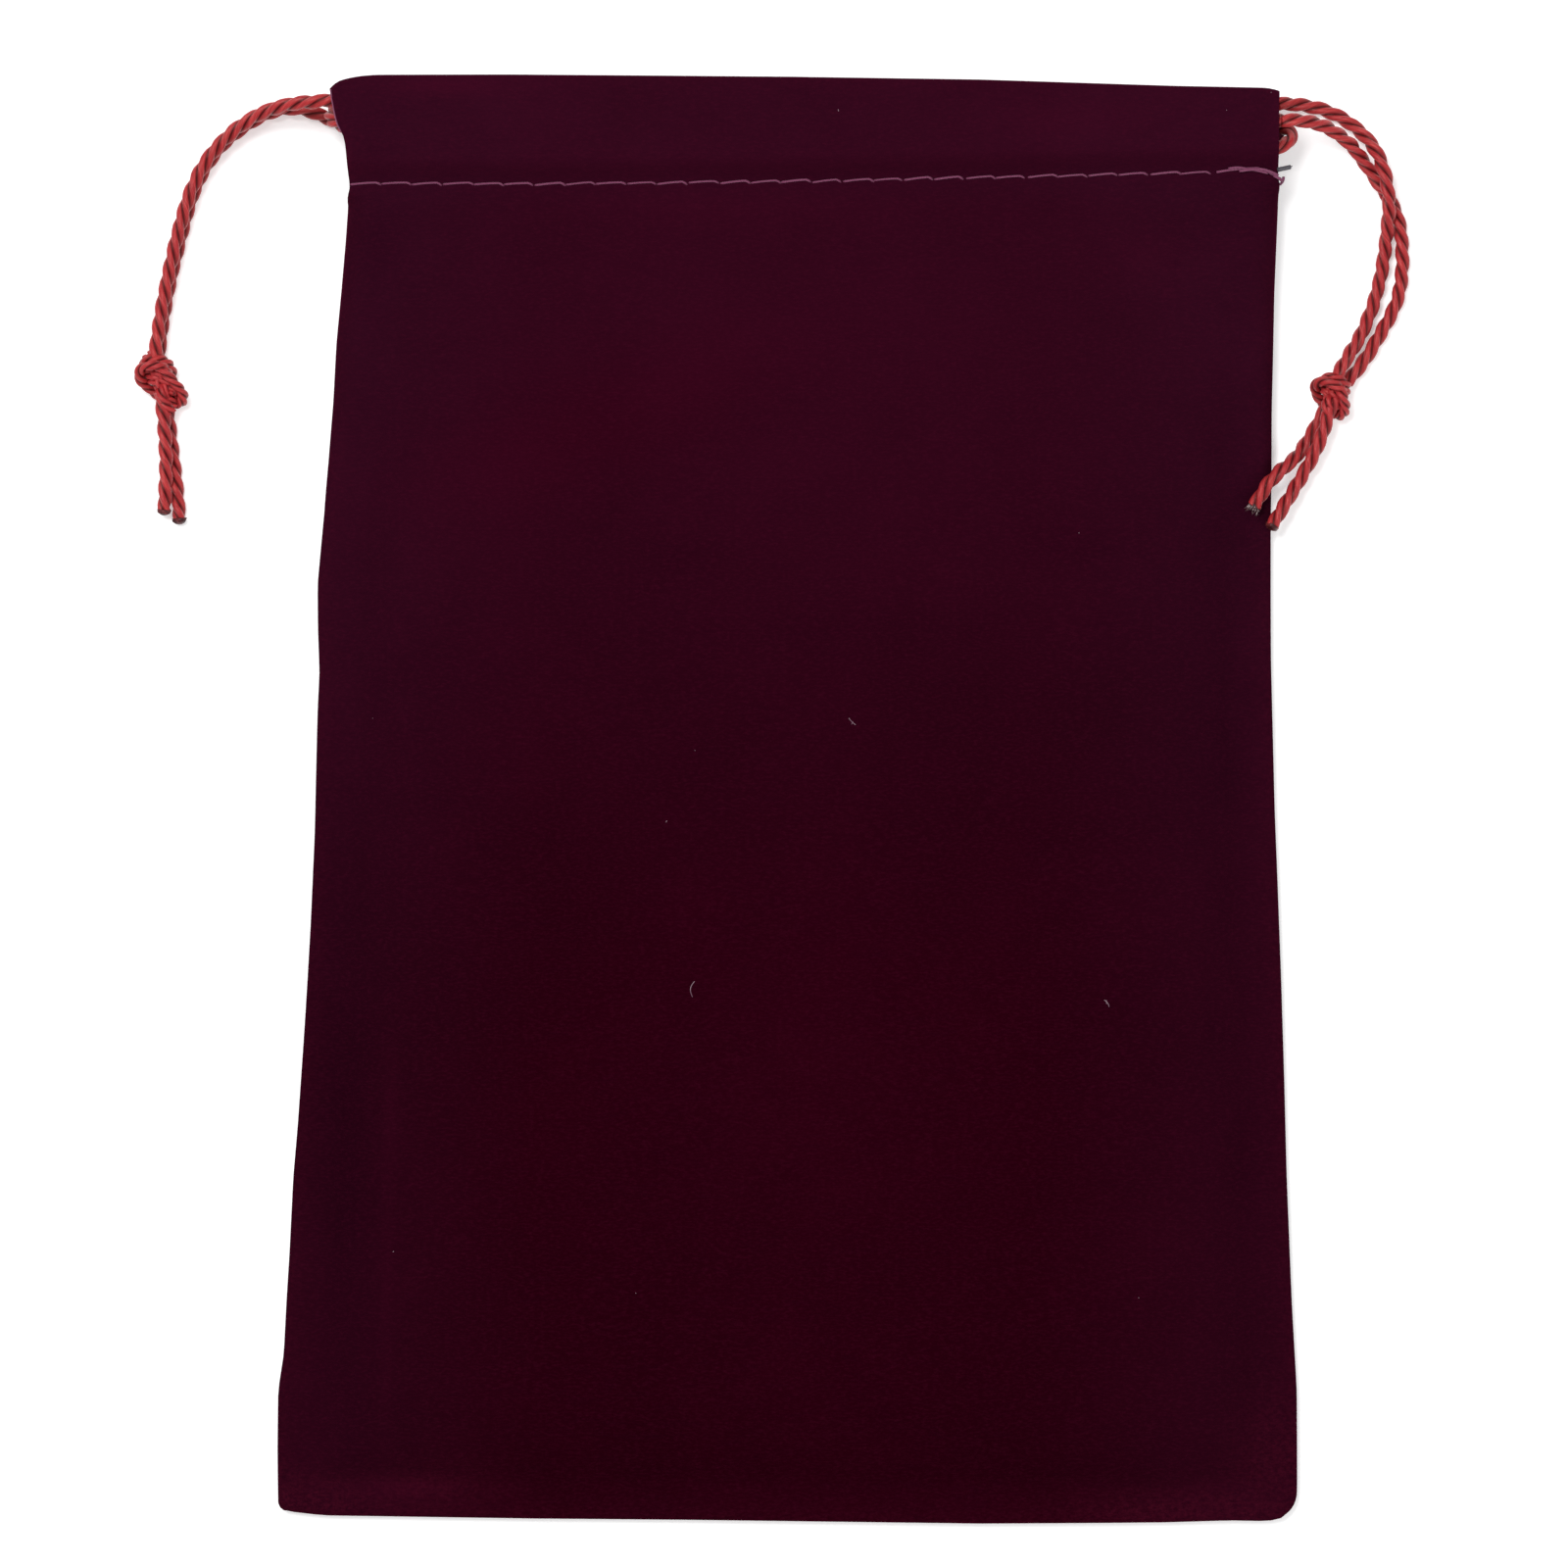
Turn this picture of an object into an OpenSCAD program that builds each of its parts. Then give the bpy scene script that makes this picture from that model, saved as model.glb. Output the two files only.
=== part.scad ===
// Velvet drawstring gift sack, lying flat, mouth toward +Y.
// Two cloth panels are sewn together inside out along the sides and the bottom.
// The top of each panel is turned in and sewn down as a channel. Two opposed
// drawstrings run round the mouth through both channels, so that pulling their
// knotted ends apart gathers the mouth from both sides.

/* [Sack] */
// Width across the bottom corners
sack_w = 161; // [158:1:164]
// Length from the bottom seam to the top fold
sack_len = 228.8; // [228.8:0.2:232]
// Thickness of the velvet, pile included
fabric_t = 0.8; // [0.6:0.1:0.9]
// Width of the seam allowance turned to the inside
allowance_w = 6; // [5:0.5:7]
// Height at which the lower edge of the front panel sits on the seam
seam_h = 2.4; // [2:0.1:3]

/* [Channel and mouth] */
// Clear height of a channel, enough for one cord
channel_h = 2.7; // [2.6:0.1:3]
// Clear gap of the mouth between the two channels
mouth_gap = 4.4; // [4.2:0.1:5]
// Length of casing at each side that is left single for the cord openings
lip_w = 6; // [5:0.5:6.5]

/* [Drawstrings] */
// Diameter of the twisted cord
cord_d = 2.4; // [2:0.1:2.4]
// Radius of the upper lobe of each knot
knot_r = 3.4; // [3:0.1:3.6]
// Length of the heat-sealed tip on each tail
tip_len = 0.8; // [0.4:0.1:1]

/* [Stitching] */
// Diameter of the sewing thread
thread_d = 0.42; // [0.3:0.02:0.46]
// Distance from one stitch of the hem row to the next
stitch_pitch = 4.85; // [4:0.05:6]
// Length of thread that shows between two needle holes
stitch_len = 4.3; // [3:0.1:4.6]

/* [Hidden] */

velvet = [0.23, 0.03, 0.10];
velvet_in = [0.32, 0.06, 0.14];
thread_c = [0.55, 0.28, 0.40];
cord_c = [0.75, 0.18, 0.20];
tip_c = [0.25, 0.20, 0.20];

kx = sack_w / 161;
ky = sack_len / 228.8;
y0 = -sack_len / 2;
y1 = sack_len / 2;
// the hem row, where the channel begins
hem_y = 97.3;
// levels of the layers, from the table upward
t = fabric_t;
z_bc = t;                       // floor of the back channel
z_bh = t + channel_h;           // underside of the back hem
z_m0 = 2 * t + channel_h;       // lower side of the mouth
z_m1 = z_m0 + mouth_gap;        // upper side of the mouth
z_fc = z_m1 + t;                // floor of the front channel
z_fo = z_fc + channel_h;        // underside of the front channel's outer layer
z_top = z_fo + t;
zb = z_bc + channel_h / 2;      // middle of the back channel
zf = z_fc + channel_h / 2;      // middle of the front channel
r = cord_d / 2;

// left and right edges of the sack as [y, x]
left_edge = [[-114.4, -80.5], [-94, -80.5], [-72, -78], [-52, -76.5], [-28, -74.5],
             [22, -74], [54, -72.5], [80, -70.5], [97.3, -69.6]];
right_edge = [[-114.4, 77], [-110, 80.5], [-94, 80.5], [-80, 79.6], [-44, 78.4],
              [-28, 77.5], [22, 77.2], [80, 77.3], [97.3, 77.7]];
function xl(y) = kx * lookup(y / ky, left_edge);
function xr(y) = kx * lookup(y / ky, right_edge);
// ends of the channels
cx0 = -71.5 * kx;
cx1 = 77.7 * kx;

// height of the sewn edge: low along the sides, rising to the mouth
function edge_h(y) = lookup(y, [[-200, seam_h], [45, seam_h], [93.4, z_fc], [200, z_fc]]);
function plateau(y) = lookup(y, [[-200, z_m1], [88, z_m1], [93.4, z_fc], [200, z_fc]]);
function crown(x, y) =
    let (dx = min(x - xl(y), xr(y) - x) - allowance_w,
         dy = y - y0 - allowance_w,
         s = max(0, min(1, min(dx, dy) / 18)))
    edge_h(y) + (plateau(y) - edge_h(y)) * s * (2 - s);

// a sheet over a grid of points, between the heights lo and lo + thick
module grid_slab(px, py, lo, hi) {
    nx = len(px[0]);
    ny = len(py);
    n = nx * ny;
    pts = concat(
        [for (j = [0:ny-1]) for (i = [0:nx-1]) [px[j][i], py[j], lo[j][i]]],
        [for (j = [0:ny-1]) for (i = [0:nx-1]) [px[j][i], py[j], hi[j][i]]]);
    function at(i, j) = j * nx + i;
    faces = concat(
        [for (j = [0:ny-2]) for (i = [0:nx-2]) [at(i,j), at(i+1,j), at(i+1,j+1)]],
        [for (j = [0:ny-2]) for (i = [0:nx-2]) [at(i,j), at(i+1,j+1), at(i,j+1)]],
        [for (j = [0:ny-2]) for (i = [0:nx-2]) [n+at(i,j), n+at(i+1,j+1), n+at(i+1,j)]],
        [for (j = [0:ny-2]) for (i = [0:nx-2]) [n+at(i,j), n+at(i,j+1), n+at(i+1,j+1)]],
        [for (i = [0:nx-2]) [at(i,0), n+at(i,0), n+at(i+1,0), at(i+1,0)]],
        [for (i = [0:nx-2]) [at(i,ny-1), at(i+1,ny-1), n+at(i+1,ny-1), n+at(i,ny-1)]],
        [for (j = [0:ny-2]) [at(0,j), at(0,j+1), n+at(0,j+1), n+at(0,j)]],
        [for (j = [0:ny-2]) [at(nx-1,j), n+at(nx-1,j), n+at(nx-1,j+1), at(nx-1,j+1)]]);
    polyhedron(pts, faces, convexity = 6);
}

// a profile drawn in Y and Z, extruded along X from a to b
module along_x(a, b) {
    translate([a, 0, 0]) rotate([90, 0, 90]) linear_extrude(b - a) children();
}

// a straight piece of thread from p to q
module rod(p, q, d) {
    v = q - p;
    l = norm(v);
    translate(p) rotate([0, acos(v[2] / l), atan2(v[1], v[0])])
        cylinder(h = l, d = d, $fn = 16);
}

// a round tube swept along a route, with the rings square to it
function unit(v) = v / norm(v);
function way(p, i) = unit(p[min(i+1, len(p)-1)] - p[max(i-1, 0)]);
module tube(p, rad, ref, n = 8, first = undef, last = undef) {
    m = len(p);
    pts = [for (i = [0:m-1])
        let (w = (i == 0 && first != undef) ? first : (i == m-1 && last != undef) ? last : way(p, i),
             a = unit(cross(ref, w)), b = cross(w, a))
        for (k = [0:n-1]) p[i] + rad * (cos(360*k/n + 22.5) * a + sin(360*k/n + 22.5) * b)];
    faces = concat(
        [[for (k = [0:n-1]) k]],
        [[for (k = [n-1:-1:0]) (m-1)*n + k]],
        [for (i = [0:m-2]) for (k = [0:n-1])
            [i*n + k, (i+1)*n + k, i*n + (k+1)%n]],
        [for (i = [0:m-2]) for (k = [0:n-1])
            [i*n + (k+1)%n, (i+1)*n + k, (i+1)*n + (k+1)%n]]);
    polyhedron(pts, faces, convexity = 8);
}

// ---- cloth ----

module outline() {
    polygon(concat(
        [for (e = left_edge) [kx * e[1], ky * e[0] > hem_y ? hem_y : ky * e[0]]],
        [for (i = [len(right_edge)-1:-1:0]) [kx * right_edge[i][1], min(hem_y, ky * right_edge[i][0])]]));
}

module back_panel() {
    color(velvet) linear_extrude(t) outline();
}

rows = [y0, y0 + allowance_w, y0 + 12, y0 + 18, y0 + 24, -60, 0, 45, 70, 88, 93.4, hem_y];
function cols(y) = let (a = xl(y), b = xr(y), w = allowance_w)
    [a, a + w, a + w + 6, a + w + 12, a + w + 18, -20, 0, 20, b - w - 18, b - w - 12, b - w - 6, b - w, b];
module front_panel() {
    px = [for (y = rows) cols(y)];
    lo = [for (j = [0:len(rows)-1]) [for (x = px[j]) crown(x, rows[j])]];
    hi = [for (a = lo) [for (z = a) z + t]];
    color(velvet) grid_slab(px, rows, lo, hi);
}

// ring of cloth round the back channel, with the turned-in hem below the row
module back_ring() {
    difference() {
        polygon([[hem_y, 0.6], [97.4, 0.6], [97.4, 0], [y1 - 0.8, 0], [y1, 0.9],
                 [y1, z_bh - 0.3], [y1 - 1.2, z_m0],
                 [101.2, z_m0], [99.2, 2 * t], [hem_y, 2 * t]]);
        polygon([[99.6, z_bc], [y1 - 1.4, z_bc], [y1 - 0.9, z_bc + 0.7],
                 [y1 - 0.9, z_bh - 0.6], [y1 - 1.4, z_bh], [101.2, z_bh]]);
    }
}
// trench under the back channel in which its stitches are sunk
module back_trench() {
    translate([97.4, -1]) square([1.0, 1.5]);
}
module back_casing() {
    color(velvet) {
        along_x(cx0 + lip_w, cx1 - lip_w) difference() { back_ring(); back_trench(); }
        along_x(-62 * kx, 70 * kx) translate([93.5, t]) square([hem_y - 93.5, t]);
    }
}

module front_ring() {
    difference() {
        polygon([[hem_y, z_m1], [y1 - 0.8, z_m1], [y1, z_m1 + 0.9],
                 [y1, z_fo - 0.3], [y1 - 1.2, z_top],
                 [101.2, z_top], [99.2, z_fc + t], [hem_y, z_fc + t]]);
        polygon([[99.6, z_fc], [y1 - 1.4, z_fc], [y1 - 0.9, z_fc + 0.7],
                 [y1 - 0.9, z_fo - 0.6], [y1 - 1.4, z_fo], [101.2, z_fo]]);
    }
}
// where the left cord dips under the right one inside the front channel
dip_a = 40;
dip_b = 71;
dip_h = 2.6;
module front_casing() {
    color(velvet) {
        difference() {
            union() {
                along_x(cx0 + lip_w, cx1 - lip_w) front_ring();
                translate([dip_a, 99.8, z_m1 - dip_h]) cube([dip_b - dip_a, 13.4, dip_h + t]);
            }
            translate([dip_a + t, 99.8 + t, z_m1 - dip_h + t]) cube([dip_b - dip_a - 2 * t, 13.4 - 2 * t, dip_h + t]);
        }
        along_x(-62 * kx, 70 * kx) translate([93.5, z_m1]) square([hem_y - 93.5, t]);
    }
}

// single outer layer at the ends of the channels, where the cords come out
module front_lip() {
    difference() {
        front_ring();
        translate([99.6, z_m1 - 1]) square([y1 - 1.4 - 99.6, t + 1.1]);
    }
}
module back_lip() {
    difference() {
        back_ring();
        back_trench();
        translate([100, z_bh - 0.1]) square([y1 - 1.4 - 100, t + 1]);
    }
}
module left_front_casing_end() { color(velvet) along_x(cx0, cx0 + lip_w) front_lip(); }
module left_back_casing_end() { color(velvet) along_x(cx0, cx0 + lip_w) back_lip(); }
module right_front_casing_end() { color(velvet) along_x(cx1 - lip_w, cx1) front_lip(); }
module right_back_casing_end() { color(velvet) along_x(cx1 - lip_w, cx1) back_lip(); }

// ---- seams ----

seam_rows = [y0, -110, -94, -72, -52, -28, 22, 45, 60, 80, 93.4, hem_y];
module side_allowance(inner, outer) {
    px = [for (i = [0:len(seam_rows)-1]) [inner[i], outer[i]]];
    lo = [for (y = seam_rows) [t, t]];
    hi = [for (y = seam_rows) [edge_h(y), edge_h(y)]];
    color(velvet_in) grid_slab(px, seam_rows, lo, hi);
}
module left_seam_allowance() {
    side_allowance([for (y = seam_rows) xl(y)], [for (y = seam_rows) xl(y) + allowance_w]);
}
module right_seam_allowance() {
    side_allowance([for (y = seam_rows) xr(y) - allowance_w], [for (y = seam_rows) xr(y)]);
}
module bottom_seam_allowance() {
    color(velvet_in) translate([xl(y0) + allowance_w + 0.5, y0, t])
        cube([xr(y0) - xl(y0) - 2 * allowance_w - 1, allowance_w, edge_h(y0) - t]);
}
// continuous runs of lockstitch along the inner foot of the allowances
thread_rows = [-106, -94, -72, -52, -28, 22, 45, 60, 80, 92];
module left_seam_thread() {
    color(thread_c) tube([for (y = thread_rows) [xl(y) + allowance_w + 0.3, y, t + thread_d/2]],
        thread_d / 2, [0, 0, 1], 6);
}
module right_seam_thread() {
    color(thread_c) tube([for (y = thread_rows) [xr(y) - allowance_w - 0.3, y, t + thread_d/2]],
        thread_d / 2, [0, 0, 1], 6);
}
module bottom_seam_thread() {
    color(thread_c) rod([-73, y0 + allowance_w + 0.3, t + thread_d/2],
        [70, y0 + allowance_w + 0.3, t + thread_d/2], thread_d);
}
// the hem row: one short length of thread for each stitch that shows
stitch_n = floor((68.5 - cx0) / stitch_pitch);
module front_hem_stitching() {
    color(thread_c) for (i = [0:stitch_n-1])
        let (x = cx0 + 1.2 + i * stitch_pitch,
             y = 97.85 + 0.8 * pow(i / stitch_n, 3))
        rod([x, y + 0.12, z_fc + t + thread_d/2], [x + stitch_len, y - 0.1, z_fc + t + thread_d/2], thread_d);
}
module back_hem_stitching() {
    color(thread_c) for (i = [0:stitch_n-1])
        let (x = cx0 + 1.2 + i * stitch_pitch)
        rod([x, 97.85, 0.5 - thread_d/2], [x + stitch_len, 97.85, 0.5 - thread_d/2], thread_d);
}
// edge of the left front opening, oversewn
module left_opening_stitching() {
    color(thread_c) rod([cx0 - thread_d/2, 102.4, z_fo + 0.4], [cx0 - thread_d/2, 111.4, z_fo + 0.4], thread_d);
}
// back-and-forth stitches that lock the hem row at its right end
module right_bar_tack() {
    z = z_fc + t + thread_d/2;
    color(thread_c) {
        rod([69.6, 98.95, z], [77.5, 98.75, z], thread_d);
        rod([70.2, 98.45, z], [77.5, 98.25, z], thread_d);
        rod([71.8, 97.95, z], [77.5, 97.75, z], thread_d);
        rod([cx1 + thread_d/2, 98.3, z_fc + 0.2], [cx1 + thread_d/2, 98.3, z_fc + t + 0.3], thread_d);
    }
}
module right_thread_tail() {
    color(tip_c) rod([cx1 + 0.05, 99.0, z_fc + 0.2], [cx1 + 2.1, 99.6, z_fc], 0.5);
}

// ---- drawstrings ----

// Routes, one point to a ring. Each drawstring is one cord: out of a knot, through
// the front channel, round the far side of the mouth and back through the back channel.
// u-turn of a cord round the side of the mouth, from the front channel to the back
function u_turn(xc, side, yf, yb) = [for (a = [0, 36, 72, 108, 144, 180])
    [xc + side * (zf - zb) / 2 * sin(a), yf + (yb - yf) * (1 - cos(a)) / 2, (zf + zb) / 2 + (zf - zb) / 2 * cos(a)]];

left_run = concat(
    [[cx0, 110, zf], [-20, 110, zf], [42, 110, zf], [47, 110, zf - 0.9], [51.5, 109.4, zf - 2.2],
     [56, 107, zf - 2.6], [60, 104.2, zf - 2.5], [64, 102.6, zf - 1.6], [68.5, 102.2, zf - 0.3]],
    u_turn(75.3 * kx, 1, 102.2, 107.3),
    [[20, 107.3, zb], [cx0, 107.3, zb]]);
right_run = concat(
    [[cx1, 106.9, zf], [0, 106.9, zf]],
    u_turn(-68 * kx, -1, 105.6, 110.1),
    [[0, 110.1, zb], [cx1, 110.1, zb]]);

left_front_leg_p = [[cx0, 110, zf], [-75, 109.8, 10.5], [-78.5, 109.6, 9.2], [-82.3, 108.7, 7.2], [-86, 106.9, 5.4],
    [-89.6, 104, 4.3], [-92.6, 100.3, 3.8], [-94.8, 95.6, 3.75], [-96.6, 89.4, 3.75],
    [-98.2, 82.4, 3.75], [-99.5, 75.4, 3.8], [-100.2, 69.6, 4.2]];
left_back_leg_p = [[cx0, 107.3, zb], [-73.6, 108, 1.9], [-76, 109.2, 1.6], [-79, 109.7, 1.3], [-82.5, 108.8, 1.25], [-86, 106.8, 1.25],
    [-89.5, 104, 1.25], [-92.4, 100.3, 1.25], [-94.5, 95.6, 1.25], [-96.2, 89.4, 1.25],
    [-97.9, 82.4, 1.25], [-99.2, 75.4, 1.25], [-99.8, 69.6, 1.6]];
left_front_tail_p = [[-98.9, 61.6, 3.8], [-98.6, 57.5, 3.75], [-98.4, 53, 3.5], [-98.6, 48.8, 3.0], [-98.8, 45.6, 2.5]];
left_back_tail_p = [[-98.3, 61.6, 1.3], [-97.9, 57.5, 1.25], [-97.3, 53, 1.25], [-96.8, 48.4, 1.25], [-96.4, 44.2, 1.25]];

right_front_leg_p = [[cx1, 106.9, zf], [81, 107, 10.4], [85, 106.25, 8], [88.95, 103.75, 4.75], [91.7, 100.4, 2.1],
    [94.15, 96.75, 1.3], [96.5, 93.4, 1.25], [97.4, 89, 1.25], [97.5, 83.6, 1.25], [96.8, 78.8, 1.25],
    [94, 73.7, 1.25], [91.2, 69, 1.3], [88.6, 66, 1.6]];
right_back_leg_p = [[cx1, 110.1, zb], [80.5, 110.1, 1.6], [84, 109.6, 1.25], [87.2, 108.4, 1.25], [89.8, 106.6, 1.5],
    [92, 104.4, 2.8], [93.7, 101.6, 4.2], [94.8, 98, 4.2], [95.3, 94.2, 3.8], [95.1, 91.2, 2.9],
    [94.8, 88.2, 1.6], [94.2, 83.4, 1.25], [92.8, 78, 1.25], [90.8, 73.2, 1.6], [88.6, 69.9, 3.1], [86.8, 66.8, 4.3]];
right_inner_tail_p = [[84.8, 61, 1.7], [83.2, 58, 1.3], [81.6, 55.4, 1.7], [79.8, 53.4, 3.7], [78, 52, 5.2],
    [76, 50, 5.5], [74.6, 47.7, 5.3], [73.8, 46.3, 5.0]];
right_outer_tail_p = [[85.6, 61, 4.2], [84.8, 58, 4], [83.6, 55, 3.9], [82.1, 52.2, 3.3], [80.4, 49.4, 3.2], [78.8, 46.8, 4.2],
    [77.4, 44.6, 4.6], [76.6, 43.1, 4.7]];

module left_drawstring_run() { color(cord_c) tube(left_run, r, [0, 1, 0], 8, [1, 0, 0], [-1, 0, 0]); }
module right_drawstring_run() { color(cord_c) tube(right_run, r, [0, 1, 0], 8, [-1, 0, 0], [1, 0, 0]); }
module left_drawstring_front_leg() { color(cord_c) tube(left_front_leg_p, r, [0, 0, 1], 8, [-1, 0, 0]); }
module left_drawstring_back_leg() { color(cord_c) tube(left_back_leg_p, r, [0, 0, 1], 8, [-1, 0, 0]); }
module left_drawstring_front_tail() { color(cord_c) tube(left_front_tail_p, r, [0, 0, 1]); }
module left_drawstring_back_tail() { color(cord_c) tube(left_back_tail_p, r, [0, 0, 1]); }
module right_drawstring_front_leg() { color(cord_c) tube(right_front_leg_p, r, [0, 0, 1], 8, [1, 0, 0]); }
module right_drawstring_back_leg() { color(cord_c) tube(right_back_leg_p, r, [0, 0, 1], 8, [1, 0, 0]); }
module right_drawstring_inner_tail() { color(cord_c) tube(right_inner_tail_p, r, [0, 0, 1]); }
module right_drawstring_outer_tail() { color(cord_c) tube(right_outer_tail_p, r, [0, 0, 1]); }

// overhand knots tied with both cords together
module left_drawstring_knot() {
    color(cord_c) union() {
        translate([-100, 67.6, knot_r + 0.1]) sphere(r = knot_r, $fn = 32);
        translate([-98.4, 64.2, knot_r - 0.1]) sphere(r = knot_r - 0.2, $fn = 32);
    }
}
module right_drawstring_knot() {
    color(cord_c) union() {
        translate([86.5, 64.6, knot_r + 0.1]) sphere(r = knot_r, $fn = 32);
        translate([85.6, 62.9, knot_r - 0.3]) sphere(r = knot_r - 0.4, $fn = 32);
    }
}

// melted ends of the tails
module tip(p) {
    a = p[len(p)-1];
    w = unit(a - p[len(p)-2]);
    rod(a, a + tip_len * w, cord_d * 0.85);
}
module left_drawstring_tips() { color(tip_c) { tip(left_front_tail_p); tip(left_back_tail_p); } }
module right_drawstring_tips() { color(tip_c) { tip(right_inner_tail_p); tip(right_outer_tail_p); } }

back_panel();
front_panel();
back_casing();
front_casing();
left_seam_allowance();
right_seam_allowance();
bottom_seam_allowance();
left_seam_thread();
right_seam_thread();
bottom_seam_thread();
front_hem_stitching();
back_hem_stitching();
left_front_casing_end();
left_back_casing_end();
left_opening_stitching();
right_front_casing_end();
right_back_casing_end();
right_bar_tack();
right_thread_tail();
left_drawstring_run();
left_drawstring_front_leg();
left_drawstring_back_leg();
left_drawstring_knot();
left_drawstring_front_tail();
left_drawstring_back_tail();
left_drawstring_tips();
right_drawstring_run();
right_drawstring_front_leg();
right_drawstring_back_leg();
right_drawstring_knot();
right_drawstring_inner_tail();
right_drawstring_outer_tail();
right_drawstring_tips();
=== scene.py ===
import math

import bpy
import numpy as np
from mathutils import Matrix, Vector


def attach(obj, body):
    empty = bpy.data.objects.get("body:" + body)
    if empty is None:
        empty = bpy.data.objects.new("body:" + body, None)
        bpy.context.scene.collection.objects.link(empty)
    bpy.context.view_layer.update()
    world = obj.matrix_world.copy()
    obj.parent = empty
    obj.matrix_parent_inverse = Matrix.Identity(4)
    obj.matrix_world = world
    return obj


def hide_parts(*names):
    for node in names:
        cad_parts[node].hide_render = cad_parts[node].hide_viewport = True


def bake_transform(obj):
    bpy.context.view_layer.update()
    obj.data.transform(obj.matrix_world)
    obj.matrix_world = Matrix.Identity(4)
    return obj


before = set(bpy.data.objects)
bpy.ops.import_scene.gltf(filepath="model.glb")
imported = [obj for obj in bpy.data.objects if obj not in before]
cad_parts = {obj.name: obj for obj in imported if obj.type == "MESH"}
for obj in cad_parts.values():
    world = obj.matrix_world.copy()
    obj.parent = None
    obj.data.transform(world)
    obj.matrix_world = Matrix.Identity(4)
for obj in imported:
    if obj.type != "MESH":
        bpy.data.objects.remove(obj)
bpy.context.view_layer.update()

MM = 0.001
rng = np.random.default_rng(7)

# ---------------------------------------------------------------- camera, light, floor
scene = bpy.context.scene
scene.view_settings.view_transform = "Standard"
scene.view_settings.look = "None"

cam_data = bpy.data.cameras.new("camera")
cam_data.sensor_width = 36.0
DIST = 1.5
cam_data.lens = 36.0 * DIST / 0.248
cam_data.clip_start, cam_data.clip_end = 0.05, 60.0
cam = bpy.data.objects.new("camera", cam_data)
cam.location = (-0.0006, 0.0023, DIST + 0.005)
cam.rotation_euler = (0.0, 0.0, 0.0)
scene.collection.objects.link(cam)
scene.camera = cam


def area_light(name, loc, aim, size, power, colour=(1, 1, 1)):
    d = bpy.data.lights.new(name, "AREA")
    d.shape, d.size, d.energy, d.color = "DISK", size, power, colour
    o = bpy.data.objects.new(name, d)
    o.location = loc
    o.rotation_mode = "QUATERNION"
    o.rotation_quaternion = (Vector(aim) - Vector(loc)).to_track_quat("-Z", "Y")
    scene.collection.objects.link(o)
    return o


area_light("key", (-0.34, 0.42, 1.30), (0, 0, 0), 0.55, 14.0)
area_light("fill", (0.75, -0.55, 1.0), (0, 0, 0), 1.0, 4.5)

world = bpy.data.worlds.new("studio")
scene.world = world
world.use_nodes = True
bg = world.node_tree.nodes["Background"]
bg.inputs["Color"].default_value = (1, 1, 1, 1)
bg.inputs["Strength"].default_value = 0.50


# ---------------------------------------------------------------- small tools
def sstep(a, b, x):
    t = np.clip((np.asarray(x, float) - a) / (b - a), 0, 1)
    return t * t * (3 - 2 * t)


def table_fn(pts, r=1.5):
    """Piecewise line through pts, softened over r."""
    xs, ys = [np.array(c, float) for c in zip(*pts)]

    def f(x):
        x = np.asarray(x, float)
        k = np.linspace(-r, r, 7)
        return sum(np.interp(x + d, xs, ys) for d in k) / len(k)

    return f


def waves(x, y, seed, scale, n=7):
    """Smooth repeatable unevenness of height about 1, with features about scale across."""
    r = np.random.default_rng(seed)
    out = np.zeros_like(np.asarray(x, float) + np.asarray(y, float))
    for _ in range(n):
        a, k, p = r.uniform(0, math.tau), math.tau / scale * r.uniform(0.55, 1.5), r.uniform(0, math.tau)
        out = out + np.sin(k * (x * math.cos(a) + y * math.sin(a)) + p)
    return out / math.sqrt(n / 2) / 1.6


def new_object(name, verts, faces, mats, smooth=None, face_mat=None, uv=None):
    me = bpy.data.meshes.new(name)
    me.from_pydata([tuple(v) for v in np.asarray(verts, float) * MM], [], [tuple(int(i) for i in f) for f in faces])
    me.polygons.foreach_set("use_smooth", [True] * len(faces) if smooth is None else list(smooth))
    if face_mat is not None:
        me.polygons.foreach_set("material_index", list(face_mat))
    for m in mats if isinstance(mats, (list, tuple)) else [mats]:
        me.materials.append(m)
    rest = me.attributes.new("rest_mm", "FLOAT_VECTOR", "POINT")
    rest.data.foreach_set("vector", np.asarray(verts, np.float32).ravel())
    if uv is not None:
        layer = me.uv_layers.new(name="UVMap")
        layer.data.foreach_set("uv", np.asarray(uv, np.float32).ravel())
    me.update()
    o = bpy.data.objects.new(name, me)
    scene.collection.objects.link(o)
    return o


def point_attr(o, name, values):
    a = o.data.attributes.get(name) or o.data.attributes.new(name, "FLOAT", "POINT")
    a.data.foreach_set("value", np.asarray(values, np.float32))


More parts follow.
